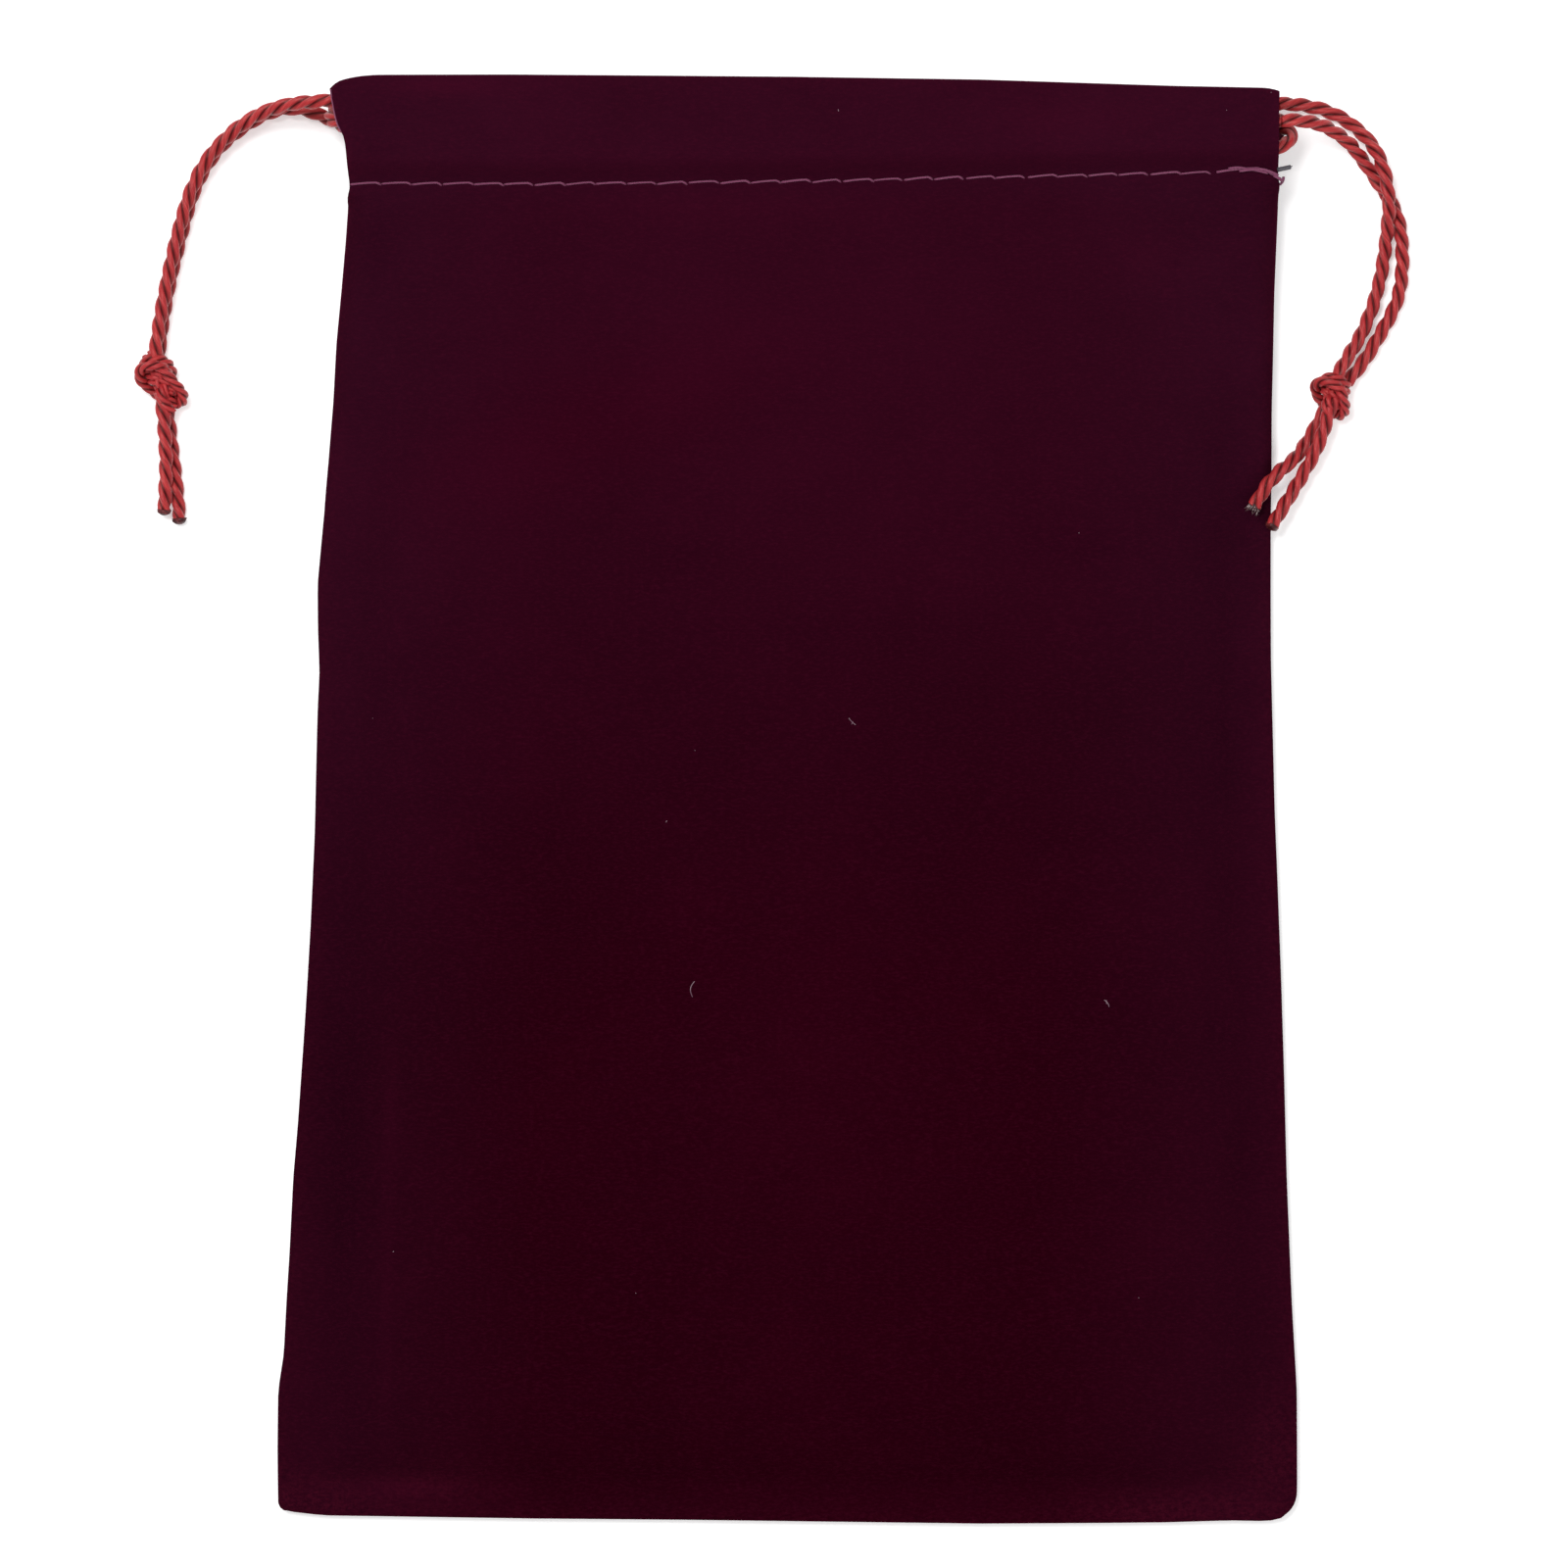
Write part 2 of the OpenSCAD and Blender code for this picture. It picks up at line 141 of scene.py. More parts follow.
# ---------------------------------------------------------------- materials
class Mat:
    def __init__(self, name):
        self.m = bpy.data.materials.new(name)
        self.m.use_nodes = True
        self.t = self.m.node_tree
        self.t.nodes.clear()
        self.out = self.t.nodes.new("ShaderNodeOutputMaterial")
        self.p = self.t.nodes.new("ShaderNodeBsdfPrincipled")
        self.t.links.new(self.p.outputs[0], self.out.inputs[0])

    def n(self, kind, **kw):
        x = self.t.nodes.new(kind)
        for k, v in kw.items():
            if k.startswith("i_"):
                x.inputs[k[2:].replace("_", " ")].default_value = v
            else:
                setattr(x, k, v)
        return x

    def link(self, a, b):
        self.t.links.new(a, b)

    def attr(self, name):
        return self.n("ShaderNodeAttribute", attribute_name=name)

    def noise(self, vec, scale, detail=3.0, rough=0.55, dist=0.0):
        x = self.n("ShaderNodeTexNoise")
        x.inputs["Scale"].default_value = scale
        x.inputs["Detail"].default_value = detail
        x.inputs["Roughness"].default_value = rough
        x.inputs["Distortion"].default_value = dist
        self.link(vec, x.inputs["Vector"])
        return x.outputs[0]

    def scaled(self, vec, sx, sy, sz, off=(0, 0, 0)):
        x = self.n("ShaderNodeMapping")
        x.inputs["Scale"].default_value = (sx, sy, sz)
        x.inputs["Location"].default_value = off
        self.link(vec, x.inputs["Vector"])
        return x.outputs[0]

    def ramp(self, fac, stops):
        x = self.n("ShaderNodeValToRGB")
        e = x.color_ramp.elements
        while len(e) < len(stops):
            e.new(0.5)
        for k, (p, c) in zip(e, stops):
            k.position, k.color = p, (*c, 1) if len(c) == 3 else c
        self.link(fac, x.inputs["Fac"])
        return x.outputs["Color"]

    def range(self, fac, a, b, c=0.0, d=1.0):
        x = self.n("ShaderNodeMapRange")
        x.inputs["From Min"].default_value, x.inputs["From Max"].default_value = a, b
        x.inputs["To Min"].default_value, x.inputs["To Max"].default_value = c, d
        self.link(fac, x.inputs["Value"])
        return x.outputs[0]

    def math(self, op, a, b=None):
        x = self.n("ShaderNodeMath", operation=op)
        for i, v in enumerate((a, b)):
            if v is None:
                continue
            if isinstance(v, (int, float)):
                x.inputs[i].default_value = v
            else:
                self.link(v, x.inputs[i])
        return x.outputs[0]

    def mix(self, fac, a, b, mode="MIX"):
        x = self.n("ShaderNodeMix", data_type="RGBA", blend_type=mode)
        for name, v in (("Factor", fac), ("A", a), ("B", b)):
            sock = [s for s in x.inputs if s.name == name and (s.type == "RGBA" or name == "Factor" and s.type == "VALUE")][0]
            if isinstance(v, (int, float)):
                sock.default_value = v
            elif isinstance(v, tuple):
                sock.default_value = (*v, 1) if len(v) == 3 else v
            else:
                self.link(v, sock)
        return [s for s in x.outputs if s.type == "RGBA"][0]

    def bump(self, height, strength, distance, normal=None):
        x = self.n("ShaderNodeBump")
        x.inputs["Strength"].default_value = strength
        x.inputs["Distance"].default_value = distance
        self.link(height, x.inputs["Height"])
        if normal is not None:
            self.link(normal, x.inputs["Normal"])
        return x.outputs[0]


def velvet_material():
    m = Mat("velvet")
    co = m.attr("rest_mm").outputs["Vector"]
    nap = m.noise(m.scaled(co, 1, 1, 1, (3.1, 1.7, 0)), 0.021, 2.0, 0.5, 0.6)      # where the pile leans
    cloud = m.noise(co, 0.09, 4.0, 0.6, 0.3)
    grain = m.noise(m.scaled(co, 0.8, 1.9, 1.0), 1.5, 5.0, 0.72)
    pile = m.noise(co, 6.0, 2.0, 0.6)
    lean = m.math("ADD", m.math("MULTIPLY", nap, 0.55), m.math("MULTIPLY", cloud, 0.45))
    crimson = m.ramp(m.range(lean, 0.33, 0.67), [(0.0, (0.0136, 0.0002, 0.0028)), (0.5, (0.0152, 0.0002, 0.0031)), (1.0, (0.0174, 0.0003, 0.0035))])
    purple = m.ramp(m.range(lean, 0.33, 0.67), [(0.0, (0.0183, 0.0020, 0.0075)), (0.5, (0.0208, 0.0022, 0.0084)), (1.0, (0.0238, 0.0024, 0.0093))])
    base = m.mix(m.attr("purple").outputs["Fac"], crimson, purple)
    nap_and_painted_light = m.attr("nap_and_painted_light").outputs["Fac"]        # lighter patches: partly stroked pile, partly painted light on ridges, bumps and the slope above the stitches
    base = m.mix(nap_and_painted_light, base, (0.046, 0.0022, 0.0120))
    # painted shade: darker patches beside the side seams, along creases and under the right tail's tip
    base = m.mix(m.math("MULTIPLY", m.attr("shade").outputs["Fac"], 0.6), base, (0.0085, 0.0004, 0.0036))
    edge = m.attr("edge").outputs["Fac"]
    # painted sheen: edges and corners painted a lighter red, broken up by noise as some wear
    edge_sheen_and_wear = m.math("MULTIPLY", edge, m.range(m.noise(m.scaled(co, 1, 1.4, 1), 1.4, 6.0, 0.78), 0.42, 0.74))
    base = m.mix(m.math("MULTIPLY", edge_sheen_and_wear, 0.62), base, (0.068, 0.0045, 0.0140))
    fleck = m.range(grain, 0.47, 0.74)
    base = m.mix(m.math("MULTIPLY", fleck, 0.30), base, (0.058, 0.0035, 0.0150))
    wisp = m.range(m.noise(m.scaled(co, 0.35, 1.6, 1.0, (9, 4, 0)), 0.55, 5.0, 0.75, 0.4), 0.50, 0.72)
    base = m.mix(m.math("MULTIPLY", wisp, 0.16), base, (0.0100, 0.0006, 0.0050))
    m.link(base, m.p.inputs["Base Color"])
    m.p.inputs["Roughness"].default_value = 0.95
    m.p.inputs["Specular IOR Level"].default_value = 0.0
    m.p.inputs["Sheen Weight"].default_value = 0.10
    m.p.inputs["Sheen Roughness"].default_value = 0.32
    m.p.inputs["Sheen Tint"].default_value = (0.60, 0.05, 0.16, 1)
    n1 = m.bump(grain, 0.45, 0.00011)
    n2 = m.bump(pile, 0.5, 0.00006, n1)
    m.link(n2, m.p.inputs["Normal"])
    return m.m


# the backing's own dark red, darkened further so the mouth of the right opening reads as deep shade: partly painted
# shade
def backing_material(name="velvet_inside", tint=(0.028, 0.0016, 0.0070)):
    m = Mat(name)
    co = m.attr("rest_mm").outputs["Vector"]
    warp = m.n("ShaderNodeTexWave", wave_type="BANDS", bands_direction="X")
    warp.inputs["Scale"].default_value = 0.9
    m.link(co, warp.inputs["Vector"])
    weft = m.n("ShaderNodeTexWave", wave_type="BANDS", bands_direction="Y")
    weft.inputs["Scale"].default_value = 0.9
    m.link(co, weft.inputs["Vector"])
    weave = m.math("MULTIPLY", warp.outputs["Fac"], weft.outputs["Fac"])
    cloud = m.noise(co, 0.16, 3.0, 0.6)
    base = m.mix(m.range(cloud, 0.3, 0.7), tint, tuple(c * 1.5 for c in tint))
    base = m.mix(m.math("MULTIPLY", weave, 0.35), base, tuple(c * 2.0 for c in tint))
    m.link(base, m.p.inputs["Base Color"])
    m.p.inputs["Roughness"].default_value = 0.9
    m.p.inputs["Specular IOR Level"].default_value = 0.15
    m.link(m.bump(weave, 0.5, 0.00012), m.p.inputs["Normal"])
    return m.m


def cord_material():
    m = Mat("cord")
    uv = m.n("ShaderNodeUVMap", uv_map="UVMap").outputs[0]
    sep = m.n("ShaderNodeSeparateXYZ")
    m.link(uv, sep.inputs[0])
    s, v = sep.outputs[0], sep.outputs[1]                      # along the cord in mm, and round it from 0 to 1
    within = m.math("FRACT", m.math("MULTIPLY", v, 3.0))        # across one ply
    # painted shade: each ply darkens towards the grooves, narrowly on one side and broadly on its shadow side
    near = m.range(within, 0.20, 0.03)
    far = m.math("POWER", m.range(within, 0.62, 0.97), 1.5)
    groove = m.math("MAXIMUM", near, far)
    comb = m.n("ShaderNodeCombineXYZ")
    m.link(m.math("MULTIPLY", s, 0.32), comb.inputs[0])
    m.link(m.math("ADD", m.math("MULTIPLY", v, 42.0), m.math("MULTIPLY", s, 0.85)), comb.inputs[1])
    filament_highlight = m.noise(comb.outputs[0], 1.0, 3.0, 0.6)               # filaments, with painted highlight streaks
    comb2 = m.n("ShaderNodeCombineXYZ")
    m.link(m.math("MULTIPLY", s, 0.8), comb2.inputs[0])
    m.link(m.math("ADD", m.math("MULTIPLY", v, 120.0), m.math("MULTIPLY", s, 2.4)), comb2.inputs[1])
    fine = m.noise(comb2.outputs[0], 1.0, 2.0, 0.6)
    co = m.attr("rest_mm").outputs["Vector"]
    wear = m.noise(co, 0.35, 3.0, 0.6)
    # the filament and fine streaks run up to a bright red: partly the fibres' own colour, partly painted highlight
    base = m.ramp(m.range(filament_highlight, 0.3, 0.72), [(0.0, (0.165, 0.0045, 0.0080)), (0.45, (0.315, 0.0130, 0.0170)), (1.0, (0.60, 0.052, 0.050))])
    base = m.mix(m.math("MULTIPLY", m.range(fine, 0.35, 0.7), 0.35), base, (0.60, 0.058, 0.058))
    base = m.mix(m.math("MULTIPLY", m.range(wear, 0.35, 0.7), 0.25), base, (0.30, 0.010, 0.026))
    # painted shade in the grooves between the plies
    base = m.mix(m.math("MULTIPLY", groove, 0.95), base, (0.034, 0.0004, 0.0012))
    m.link(base, m.p.inputs["Base Color"])
    m.p.inputs["Roughness"].default_value = 0.38
    m.p.inputs["Specular IOR Level"].default_value = 0.46
    m.p.inputs["Specular Tint"].default_value = (1.0, 0.62, 0.58, 1)
    m.p.inputs["Sheen Weight"].default_value = 0.02
    m.p.inputs["Sheen Roughness"].default_value = 0.4
    m.p.inputs["Sheen Tint"].default_value = (1.0, 0.45, 0.4, 1)
    n1 = m.bump(filament_highlight, 0.55, 0.00014)
    n2 = m.bump(fine, 0.35, 0.00007, n1)
    m.link(n2, m.p.inputs["Normal"])
    return m.m


def tip_material():
    m = Mat("cord_tip")
    co = m.attr("rest_mm").outputs["Vector"]
    a = m.noise(co, 1.6, 4.0, 0.65)
    base = m.ramp(m.range(a, 0.3, 0.7), [(0.0, (0.012, 0.003, 0.004)), (0.55, (0.060, 0.007, 0.009)), (1.0, (0.170, 0.030, 0.032))])
    m.link(base, m.p.inputs["Base Color"])
    m.p.inputs["Roughness"].default_value = 0.42
    m.p.inputs["Specular IOR Level"].default_value = 0.25
    m.link(m.bump(a, 0.6, 0.0002), m.p.inputs["Normal"])
    return m.m


def fray_material():
    m = Mat("frayed_fibre")
    co = m.attr("rest_mm").outputs["Vector"]
    a = m.noise(co, 2.0, 2.0, 0.5)
    base = m.ramp(m.range(a, 0.35, 0.65), [(0.0, (0.022, 0.008, 0.009)), (0.5, (0.110, 0.050, 0.052)), (1.0, (0.50, 0.42, 0.41))])
    m.link(base, m.p.inputs["Base Color"])
    m.p.inputs["Roughness"].default_value = 0.5
    return m.m


def thread_material(name="thread", a=(0.115, 0.011, 0.050), b=(0.235, 0.042, 0.120)):
    m = Mat(name)
    uv = m.n("ShaderNodeUVMap", uv_map="UVMap").outputs[0]
    sep = m.n("ShaderNodeSeparateXYZ")
    m.link(uv, sep.inputs[0])
    comb = m.n("ShaderNodeCombineXYZ")
    m.link(m.math("MULTIPLY", sep.outputs[0], 0.6), comb.inputs[0])
    m.link(m.math("ADD", m.math("MULTIPLY", sep.outputs[1], 3.0), m.math("MULTIPLY", sep.outputs[0], 1.6)), comb.inputs[1])
    ply = m.n("ShaderNodeTexWave", wave_type="BANDS", bands_direction="Y")
    ply.inputs["Scale"].default_value = 1.0
    ply.inputs["Distortion"].default_value = 0.6
    m.link(comb.outputs[0], ply.inputs["Vector"])
    base = m.mix(ply.outputs["Fac"], a, b)
    m.link(base, m.p.inputs["Base Color"])
    m.p.inputs["Roughness"].default_value = 0.45
    m.p.inputs["Sheen Weight"].default_value = 0.1
    m.link(m.bump(ply.outputs["Fac"], 0.6, 0.00006), m.p.inputs["Normal"])
    return m.m


def lint_material():
    m = Mat("lint")
    co = m.attr("rest_mm").outputs["Vector"]
    a = m.noise(co, 1.0, 2.0, 0.5)
    m.link(m.ramp(a, [(0.3, (0.13, 0.055, 0.09)), (0.7, (0.30, 0.20, 0.24))]), m.p.inputs["Base Color"])
    m.p.inputs["Roughness"].default_value = 0.7
    return m.m


def floor_material():
    m = Mat("floor")
    tc = m.n("ShaderNodeTexCoord").outputs["Object"]
    a = m.noise(tc, 3.0, 2.0, 0.5)
    m.link(m.ramp(a, [(0.3, (0.90, 0.90, 0.90)), (0.7, (0.92, 0.92, 0.92))]), m.p.inputs["Base Color"])
    m.p.inputs["Roughness"].default_value = 0.95
    m.p.inputs["Specular IOR Level"].default_value = 0.05
    m.p.inputs["Emission Color"].default_value = (1, 1, 1, 1)
    m.p.inputs["Emission Strength"].default_value = 0.34
    return m.m


VELVET, INSIDE, CORD, TIP = velvet_material(), backing_material(), cord_material(), tip_material()
FRAY, THREAD, LINT = fray_material(), thread_material(), lint_material()
GREY_THREAD = thread_material("thread_dark", (0.030, 0.028, 0.036), (0.085, 0.078, 0.095))

floor_mesh = bpy.data.meshes.new("floor")
F = 6.0
floor_mesh.from_pydata([(-F, -F, 0), (F, -F, 0), (F, F, 0), (-F, F, 0)], [], [(0, 1, 2, 3)])
floor_mesh.materials.append(floor_material())
floor = bpy.data.objects.new("floor", floor_mesh)
floor.location = (0, 0, -0.00005)
scene.collection.objects.link(floor)

# ---------------------------------------------------------------- cords
# The route points are those of part.scad, in millimetres.
ZB, ZF = 2.15, 10.85
CX0, CX1 = -71.5, 77.7
CORD_R = 1.2
LAY = 9.3            # length of one turn of the three plies


def u_turn(xc, side, yf, yb):
    r = math.hypot(ZF - ZB, yb - yf) / 2
    shift = (r - (ZF - ZB) / 2) * side
    return [(xc - shift + side * r * math.sin(a), yf + (yb - yf) * (1 - math.cos(a)) / 2,
             (ZF + ZB) / 2 + (ZF - ZB) / 2 * math.cos(a)) for a in np.radians(np.arange(0, 181, 9))]


LEFT_RUN = [(CX0, 110, ZF), (-20, 110, ZF), (42, 110, ZF), (47, 110, ZF - 0.9), (51.5, 109.4, ZF - 2.2),
            (56, 107, ZF - 2.6), (60, 104.2, ZF - 2.5), (64, 102.6, ZF - 1.6), (68.5, 102.2, ZF - 0.3)]
LEFT_RUN += u_turn(75.3, 1, 102.2, 107.3) + [(20, 107.3, ZB), (CX0, 107.3, ZB)]
RIGHT_RUN = [(CX1, 106.9, ZF), (0, 106.9, ZF)] + u_turn(-68, -1, 105.6, 110.1) + [(0, 110.1, ZB), (CX1, 110.1, ZB)]
LEFT_FRONT_LEG = [(CX0, 110, ZF), (-75, 109.8, 10.5), (-78.5, 109.6, 9.2), (-82.3, 108.7, 7.2), (-86, 106.9, 5.4),
                  (-89.6, 104, 4.3), (-92.6, 100.3, 3.8), (-94.8, 95.6, 3.75), (-96.6, 89.4, 3.75),
                  (-98.2, 82.4, 3.75), (-99.5, 75.4, 3.8), (-100.2, 69.6, 4.2)]
LEFT_BACK_LEG = [(CX0, 107.3, ZB), (-73.6, 108, 1.9), (-76, 109.2, 1.6), (-79, 109.7, 1.3), (-82.5, 108.8, 1.25),
                 (-86, 106.8, 1.25), (-89.5, 104, 1.25), (-92.4, 100.3, 1.25), (-94.5, 95.6, 1.25),
                 (-96.2, 89.4, 1.25), (-97.9, 82.4, 1.25), (-99.2, 75.4, 1.25), (-99.8, 69.6, 1.6)]
LEFT_FRONT_TAIL = [(-98.9, 61.6, 3.8), (-98.6, 57.5, 3.75), (-98.4, 53, 3.5), (-98.6, 48.8, 3.0), (-98.8, 45.6, 2.5)]
LEFT_BACK_TAIL = [(-98.3, 61.6, 1.3), (-97.9, 57.5, 1.25), (-97.3, 53, 1.25), (-96.8, 48.4, 1.25), (-96.4, 44.2, 1.25)]
RIGHT_FRONT_LEG = [(CX1, 106.9, ZF), (81, 107, 10.4), (85, 106.25, 8), (88.95, 103.75, 4.75), (91.7, 100.4, 2.1),
                   (94.15, 96.75, 1.3), (96.5, 93.4, 1.25), (97.4, 89, 1.25), (97.5, 83.6, 1.25), (96.8, 78.8, 1.25),
                   (94, 73.7, 1.25), (91.2, 69, 1.3), (88.6, 66, 1.6)]
RIGHT_BACK_LEG = [(CX1, 110.1, ZB), (80.5, 110.1, 1.6), (84, 109.6, 1.25), (87.2, 108.4, 1.25), (89.8, 106.6, 1.5),
                  (92, 104.4, 2.8), (93.7, 101.6, 4.2), (94.8, 98, 4.2), (95.3, 94.2, 3.8), (95.1, 91.2, 2.9),
                  (94.8, 88.2, 1.6), (94.2, 83.4, 1.25), (92.8, 78, 1.25), (90.8, 73.2, 1.6), (88.6, 69.9, 3.1), (86.8, 66.8, 4.3)]
RIGHT_INNER_TAIL = [(84.8, 61, 1.7), (83.2, 58, 1.3), (81.6, 55.4, 1.7), (79.8, 53.4, 3.7), (78, 52, 5.2),
                    (76, 50, 5.5), (74.6, 47.7, 5.3), (73.8, 46.3, 5.0)]
RIGHT_OUTER_TAIL = [(85.6, 61, 4.2), (84.8, 58, 4), (83.6, 55, 3.9), (82.1, 52.2, 3.3), (80.4, 49.4, 3.2),
                    (78.8, 46.8, 4.2), (77.4, 44.6, 4.6), (76.6, 43.1, 4.7)]


def resample(p, step):
    p = np.asarray(p, float)
    s = np.concatenate([[0], np.cumsum(np.linalg.norm(np.diff(p, axis=0), axis=1))])
    n = max(2, int(round(s[-1] / step)) + 1)
    q = np.linspace(0, s[-1], n)
    return np.stack([np.interp(q, s, p[:, k]) for k in range(3)], axis=1)


def soften(p, step=0.3, width=1.6):
    """A route's points as one smooth line with both ends kept."""
    q = resample(p, step)
    n = max(1, int(round(width / step)))
    k = np.exp(-0.5 * (np.arange(-3 * n, 3 * n + 1) / n) ** 2)
    k /= k.sum()
    head = 2 * q[0] - q[1:3 * n + 1][::-1] if len(q) > 3 * n else np.repeat(q[:1], 3 * n, 0)
    tail = 2 * q[-1] - q[-3 * n - 1:-1][::-1] if len(q) > 3 * n else np.repeat(q[-1:], 3 * n, 0)
    e = np.vstack([head, q, tail])
    out = np.stack([np.convolve(e[:, c], k, "valid") for c in range(3)], axis=1)
    return resample(out, step)


def frames(p, first=None):
    """Tangents and a frame carried along the line without twist."""
    t = np.gradient(p, axis=0)
    t /= np.linalg.norm(t, axis=1)[:, None]
    n = np.zeros_like(p)
    a = np.array(first, float) if first is not None else np.array([0, 0, 1.0])
    a = a - t[0] * (a @ t[0])
    if np.linalg.norm(a) < 1e-3:
        a = np.cross(t[0], [1, 0, 0])
    n[0] = a / np.linalg.norm(a)
    for i in range(1, len(p)):
        a = n[i - 1] - t[i] * (n[i - 1] @ t[i])
        n[i] = a / np.linalg.norm(a)
    return t, n, np.cross(t, n)


ACROSS = np.array([0.0, 0.045, 0.12, 0.24, 0.41, 0.59, 0.76, 0.88, 0.955])      # closer together by the grooves
PER_PLY = len(ACROSS)
ROUND = 3 * PER_PLY
V_ROUND = np.concatenate([(k + ACROSS) / 3 for k in range(3)])


def ply_radius(rad):
    """Distance of the surface from the middle at each point round a three-ply cord."""
    rs, rc = 0.50, 0.50
    a = np.radians(60) * np.abs((V_ROUND * 3) % 1.0 - 0.5) * 2        # 0 on a ply's crown, 60 degrees in the groove
    r = rc * np.cos(a) + np.sqrt(np.maximum(rs * rs - (rc * np.sin(a)) ** 2, 0))
    return r * rad * 0.975


def twisted(line, rad, phase=0.0, first=None, s0=0.0, caps=True, scale=None, wobble=0.0, seed=1, lay=None):
    """A swept three-ply cord. Returns vertices, faces, uv per face corner, and the end's phase and frame."""
    lay = lay or LAY
    t, n, b = frames(line, first)
    s = np.concatenate([[0], np.cumsum(np.linalg.norm(np.diff(line, axis=0), axis=1))])
    prof = ply_radius(rad)
    ang = V_ROUND * math.tau
    r = np.random.default_rng(seed)
    wob = np.zeros((len(line), 3))
    if wobble:
        for k in range(3):
            ph = r.uniform(0, math.tau, 4)
            wob[:, k] = sum(np.sin(s * math.tau / w + ph[i]) for i, w in enumerate((4.3, 7.1, 11.9, 2.9))) * wobble / 3
    verts = []
    for i in range(len(line)):
        th = ang + phase - math.tau * s[i] / lay
        k = (1 if scale is None else scale[i]) * (1 + wob[i, (np.arange(ROUND) // PER_PLY)])
        verts.append(line[i] + (prof * k * np.cos(th))[:, None] * n[i] + (prof * k * np.sin(th))[:, None] * b[i])
    verts = np.vstack(verts)
    faces, uv = [], []
    va = np.append(V_ROUND, 1.0)
    for i in range(len(line) - 1):
        for j in range(ROUND):
            j2 = (j + 1) % ROUND
            faces.append((i * ROUND + j, i * ROUND + j2, (i + 1) * ROUND + j2, (i + 1) * ROUND + j))
            uv += [(s0 + s[i], va[j]), (s0 + s[i], va[j + 1]), (s0 + s[i + 1], va[j + 1]), (s0 + s[i + 1], va[j])]
    if caps:
        m = len(line)
        verts = np.vstack([verts, line[:1], line[-1:]])
        for j in range(ROUND):
            j2 = (j + 1) % ROUND
            faces.append((m * ROUND, j2, j))
            uv += [(s0, va[j]), (s0, va[j + 1]), (s0, va[j])]
            faces.append((m * ROUND + 1, (m - 1) * ROUND + j, (m - 1) * ROUND + j2))
            uv += [(s0 + s[-1], va[j])] * 3
    return verts, faces, uv, (phase - math.tau * s[-1] / lay, n[-1], t[-1], s0 + s[-1])


def cord_piece(name, lines, body, mat=CORD, **kw):
    """One mesh of one or more swept lines."""
    V, Fc, U, off = [], [], [], 0
    for item in lines:
        v, f, u = item[:3]
        V.append(v)
        Fc += [tuple(i + off for i in x) for x in f]
        U += u
        off += len(v)
    o = new_object(name, np.vstack(V), Fc, mat, uv=U)
    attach(o, body)
    return o


def drawstring(side, run, front_leg, back_leg, phase):
    """The run in the channels and the two legs that leave it, with their plies running on from one to the next."""
    body = side + "_drawstring"
    run_line = soften(run, 0.33, 1.2)
    rv = twisted(run_line, CORD_R, phase, (0, 0, 1), wobble=0.02, seed=3)
    t, n, b = frames(run_line, (0, 0, 1))
    run_o = cord_piece(side + "_drawstring_run_cord", [rv], body)
    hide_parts(side + "_drawstring_run")
    fl = soften(front_leg, 0.27, 1.5)
    bl = soften(back_leg, 0.27, 1.5)
    # the front leg runs the other way from the run's start, so its phase turns over
    fv = twisted(fl, CORD_R, -phase, n[0], wobble=0.035, seed=11)
    end_phase, end_n = rv[3][0], rv[3][1]
    bv = twisted(bl, CORD_R, end_phase, end_n, wobble=0.035, seed=12)
    fo = cord_piece(side + "_drawstring_front_leg_cord", [fv], body)
    bo = cord_piece(side + "_drawstring_back_leg_cord", [bv], body)
    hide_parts(side + "_drawstring_front_leg")
    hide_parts(side + "_drawstring_back_leg")
    return run_o, run_line, fo, fl, bo, bl


# the line of the pair through an overhand knot: across, along (towards the tails), up
KNOT = [(0.1, -4.9, 0.1), (0.3, -3.5, 0.6), (0.8, -1.4, 1.55), (1.8, 0.9, 1.5), (2.5, 2.6, 0.3), (1.7, 3.7, -1.1),
        (-0.1, 2.2, -1.8), (-2.0, -0.3, -1.4), (-2.8, -2.2, 0.2), (-1.9, -3.5, 1.6), (0.2, -3.2, 2.3),
        (2.2, -2.1, 1.4), (2.3, -0.5, -0.5), (0.8, 0.9, -0.6), (-0.9, 2.0, 0.9), (-0.5, 3.5, 0.7), (0.0, 4.9, 0.1)]


